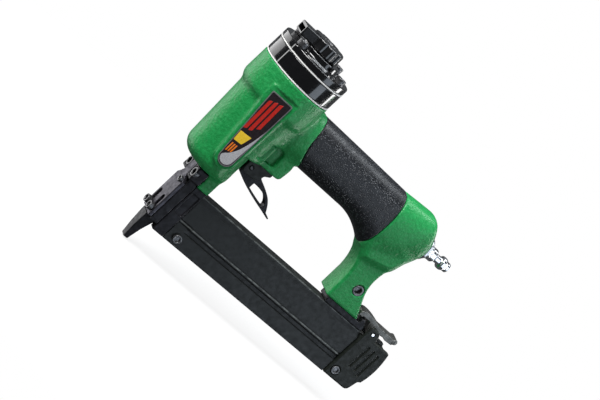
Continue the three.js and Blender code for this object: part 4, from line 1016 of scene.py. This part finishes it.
def latch():
    s = Space((183.6, -6.8, 65.4), (230.4, 6.8, 80.2), 0.3)
    points = course((184.6, 73.6), (188.6, 73.6), (189, 74.6), (197, 74.6), (201, 66.4), (208, 66.4),
                    (210, 71.4), (217, 71.8), (218.6, 70.9), (226, 71.3), (227, 73), (226, 76.2), (207, 76.4),
                    [(197, 79.4), (190, 79.2), 8], [(184.6, 78.8), (184.6, 75)])
    lever = prism(s, points, 5.8, 0.5)
    roll = both(crossbar(s, 227, 75.1, 2.4), np.abs(s.y) - 5.8, 0.5)
    lever = either(lever, roll, 0.8)
    make("latch_lever", s, without(lever, crossbar(s, *LATCH_PIN, PIN_HOLE), 0.2), body="latch",
         slot="grey_steel", rounds=2, look="latch_steel")
    pin("latch_pin", 1.5, 22.6, (0, 1, 0), (LATCH_PIN[0], 0, LATCH_PIN[1]), body="drawer", slot="bright_steel")
    spring = coil("latch_spring", 1.9, 6.6, 5, 0.35, body="drawer", at=(214, 0, 64))
    pressed(spring)


# ---- Trigger ----


def trigger_group():
    s = Space((18.9, -8.6, 97.6), (43, 8.6, 112), 0.3)
    points = soft([(19.7, 111.2), (19.7, 101), (21, 98.5), (33, 98.5), (37, 101.5), (37.5, 106), (42, 108.5),
                   (42, 111.2)], 1.2)
    fork = prism(s, points, 7.6, 0.5)
    fork = carved(fork, (wide_box(s, 10, 60, 4.5, 90, 109.2, 0.3), 0.3),
                  (both(post(s, VALVE_X, 0, 5.6), 108 - s.z, 0.2), 0.3), (crossbar(s, *TRIGGER_PIN, PIN_HOLE), 0.2))
    make("trigger_bracket", s, fork, slot="black_plastic", rounds=2)

    s = Space((20.2, -5, 81.2), (69, 5, 108.8), 0.3)
    points = course((21.5, 108), (21, 96.5), [(34, 89.8), (59, 84.2), 12], (67.4, 82), (68.1, 82.3), (68.0, 83.1),
                    (63.2, 84.8), [(58.4, 93), (53, 96), 7], [(48, 98.9), (41.5, 101.5)], (30, 107.6))
    shell = prism(s, points, 4.2, 0.5)
    hollow = course((10, 130), (10, 98), (22.3, 98), [(35, 91), (57, 86.1)], (60, 92), (60, 130))
    shell = without(shell, prism(s, hollow, 3, 0.5), 0.25)
    window = course((37.4, 91.3), [(48, 88), (57.8, 86)], [(58, 90), (52, 93.8)], [(46, 96.6), (37.6, 96.4)])
    shell = without(shell, outline(s.x, s.z, window), 0.25)
    shell = either(shell, wide_box(s, 30, 37, 3.1, 99.8, 101.4, 0.3), 0.3)
    shell = without(shell, crossbar(s, *TRIGGER_PIN, PIN_HOLE), 0.2)
    make("trigger", s, shell, body="trigger", rounds=2)
    pin("trigger_pin", 1.5, 16.4, (0, 1, 0), (TRIGGER_PIN[0], 0, TRIGGER_PIN[1]))
    at = (VALVE_X, 0, 0)
    spin("valve_body", soft([(2.6, 110), (5.2, 110), (5.2, 112.3), (6.5, 112.3), (6.5, 128), (4, 128), (4, 116),
                             (2.6, 116)], 0.3, 3), 64, slot="black_plastic", at=at)
    spin("valve_stem", soft([(0.02, 101.7, 0), (1, 101.7), (2.3, 103.2), (2.3, 117), (3.7, 117), (3.7, 119.5),
                             (1.6, 119.5), (1.6, 121), (0.02, 121, 0)], 0.3, 3), 48, slot="bright_steel",
         body="valve_stem", at=at)
    spring = coil("valve_spring", 2.6, 5.6, 4, 0.35, at=(VALVE_X, 0, 120.2))
    pressed(spring)
    spin("valve_plug", soft([(1.5, 128.3), (6.5, 128.3), (6.5, 131), (1.5, 131)], 0.3, 3), 64,
         slot="bare_aluminium", at=at)


# ---- Air inlet ----


def inlet():
    s = Space((-11.8, -11.8, -10), (11.8, 11.8, 4), 0.32)
    radius = np.hypot(s.x, s.y)
    stem = both(radius - 7.7, slab(s.z, -9, 2), 0.3)
    collar = both(hexagon(s.x, s.y, 20.6, 0.26), radius - 11.0, 0.6)
    collar = both(collar, slab(s.z, 0.3, 3), 0.5)
    bush = without(either(stem, collar, 0.3), radius - 5.2, 0.3)
    at = (INLET_FACE, 0, INLET_HEIGHT)
    make("end_bush", s, bush, slot="bare_aluminium", turn=facing((1, 0, 0)), at=at, rounds=2)

    s = Space((-7.4, -7.4, -7), (7.4, 7.4, 31), 0.26)
    radius = np.hypot(s.x, s.y)
    profile = soft([(2.8, -6), (4.9, -6), (4.9, 3.3), (6.6, 3.3), (6.6, 7.5), (5.8, 8), (5.8, 13), (3.6, 14.5),
                    (3.6, 20), (5.6, 21.5), (5.6, 24.5), (4.3, 27), (4.3, 30), (2.8, 30)], 0.4, 4)
    plug = lathe(s, profile)
    flats = both(hexagon(s.x, s.y, 12.4, 0.1), radius - 6.6, 0.3)
    hexed = np.maximum(flats, slab(s.z, 3.3, 7.6))
    plug = np.maximum(plug, np.where(np.abs(s.z - 5.4) < 2.3, hexed, -9))
    make("air_plug", s, plug, slot="bright_steel", turn=facing((1, 0, 0)), at=at, rounds=1)


casting()
grip()
cap_pieces()
exhaust_hood()
inner_works()
name_plate()
nose()
magazine_head()
magazine_housing()
bracket()
fasteners()
drawer()
rear_cover()
latch()
trigger_group()
inlet()
slots = {row["node"]: row["material_slot"] for row in frame["record"]["subparts"]}
for name, node in frame["nodes"].items():
    node.data.materials.clear()
    node.data.materials.append(LOOKS[slots[name]])

# ---- Camera ----

AZIMUTH, ELEVATION, ROLL = math.radians(-28.79), math.radians(10.41), math.radians(47.3)
DISTANCE = 1.638
PICTURE = 600
PER_METRE = 1310.7  # of the PICTURE units across, how many one metre takes up at that distance
SENSOR = 36
level = Vector((math.cos(AZIMUTH), math.sin(AZIMUTH), 0))
back = Vector((math.sin(AZIMUTH) * math.cos(ELEVATION), -math.cos(AZIMUTH) * math.cos(ELEVATION),
               math.sin(ELEVATION)))
rise = back.cross(level)
aside = level * math.cos(ROLL) + rise * math.sin(ROLL)
above = rise * math.cos(ROLL) - level * math.sin(ROLL)
target = Vector((0.093, 0, 0.11)) - aside * (11.8 / PER_METRE) + above * (9.6 / PER_METRE)


def looking(place, from_direction, across, upward):
    """World matrix of a camera or lamp that looks back along from_direction."""
    columns = Matrix((across, upward, from_direction)).transposed().to_4x4()
    columns.translation = place
    return columns


camera = bpy.data.objects.new("camera", bpy.data.cameras.new("camera"))
camera.data.sensor_width = SENSOR
camera.data.lens = PER_METRE * DISTANCE / PICTURE * SENSOR
camera.matrix_world = looking(target + back * DISTANCE, back, aside, above)
bpy.context.scene.collection.objects.link(camera)
bpy.context.scene.camera = camera

# ---- Light and floor ----


def softbox(name, side, height, front, size, power, color=(1, 1, 1)):
    """Area light, placed along the floor's level, the rise and the way to the camera from the object."""
    middle = Vector((0.1, 0, 0.11))
    place = middle + level * side + rise * height + back * front
    lamp = bpy.data.lights.new(name, "AREA")
    lamp.shape = "RECTANGLE"
    lamp.size, lamp.size_y = size
    lamp.energy = power
    lamp.color = color
    towards = (place - middle).normalized()
    across = rise.cross(towards).normalized()
    thing = bpy.data.objects.new(name, lamp)
    thing.matrix_world = looking(place, towards, across, towards.cross(across))
    bpy.context.scene.collection.objects.link(thing)


softbox("light_left", -1.0, 0.0, -0.36, (0.85, 1.5), 10)
softbox("light_right", 1.04, 0.0, 0.46, (0.5, 1.4), 5.5, (0.78, 0.88, 1.0))
softbox("light_behind", 0.95, 0.1, -0.55, (0.25, 1.2), 8)
softbox("light_top", 0.15, 1.1, 0.15, (1.1, 0.4), 13, (0.9, 0.95, 1.0))
softbox("light_key", -0.6, 0.85, 0.95, (0.6, 0.6), 26)

FLOOR_SIDES = 64
FLOOR_RADII = 0.02, 0.4, 1.2, 3.0, 6.0
FLOOR_HEIGHT = -0.0012
floor_mesh = bpy.data.meshes.new("floor")
floor_points = [(*point, FLOOR_HEIGHT) for radius in FLOOR_RADII
                for point in arc(0.1, 0, radius, 0, 2 * math.pi, FLOOR_SIDES + 1)[:-1]]
floor_faces = [tuple(range(FLOOR_SIDES))]
for first in range(0, len(floor_points) - FLOOR_SIDES, FLOOR_SIDES):
    for i in range(FLOOR_SIDES):
        here, ahead = first + i, first + (i + 1) % FLOOR_SIDES
        floor_faces.append((here, ahead, ahead + FLOOR_SIDES, here + FLOOR_SIDES))
floor_mesh.from_pydata(floor_points, [], floor_faces)
floor = bpy.data.objects.new("floor", floor_mesh)
bpy.context.scene.collection.objects.link(floor)
paper = Nodes("floor_paper", 0.8)
paper.tree.nodes.remove(paper.shader)
diffuse = paper.add("BsdfDiffuse", {"Color": (0.93, 0.93, 0.93, 1)})
glow = paper.add("Emission")
distance = paper.add("VectorMath", {0: paper.place, 1: (100, 0, 0)}, operation="DISTANCE")
fade = paper.span(distance.outputs["Value"], 120, 420, 0.85, 1.0)
rays = paper.add("LightPath")
paper.wire(paper.span(rays.outputs["Is Camera Ray"], 0, 1, 0.25, 1.0), glow.inputs["Strength"])
lit = paper.add("MixShader", {0: fade, 1: diffuse.outputs[0], 2: glow.outputs[0]})
clear = paper.add("BsdfTransparent")
lit = paper.add("MixShader", {0: rays.outputs["Is Glossy Ray"], 1: lit.outputs[0], 2: clear.outputs[0]})
paper.wire(lit.outputs[0], paper.tree.nodes["Material Output"].inputs["Surface"])
floor_mesh.materials.append(paper.material)

world = bpy.data.worlds.new("studio")
world.use_nodes = True
bpy.context.scene.world = world
sky = world.node_tree
seen = sky.nodes["Background"]
seen.inputs["Color"].default_value = (1, 1, 1, 1)
fill = add_node(sky, "Background", {"Color": (0.9, 0.95, 1, 1), "Strength": 0.1})
rays = add_node(sky, "LightPath")
lit = add_node(sky, "MixShader", {0: rays.outputs["Is Camera Ray"], 1: fill.outputs[0], 2: seen.outputs[0]})
sky.links.new(lit.outputs[0], sky.nodes["World Output"].inputs["Surface"])
bpy.context.scene.view_settings.view_transform = "Standard"
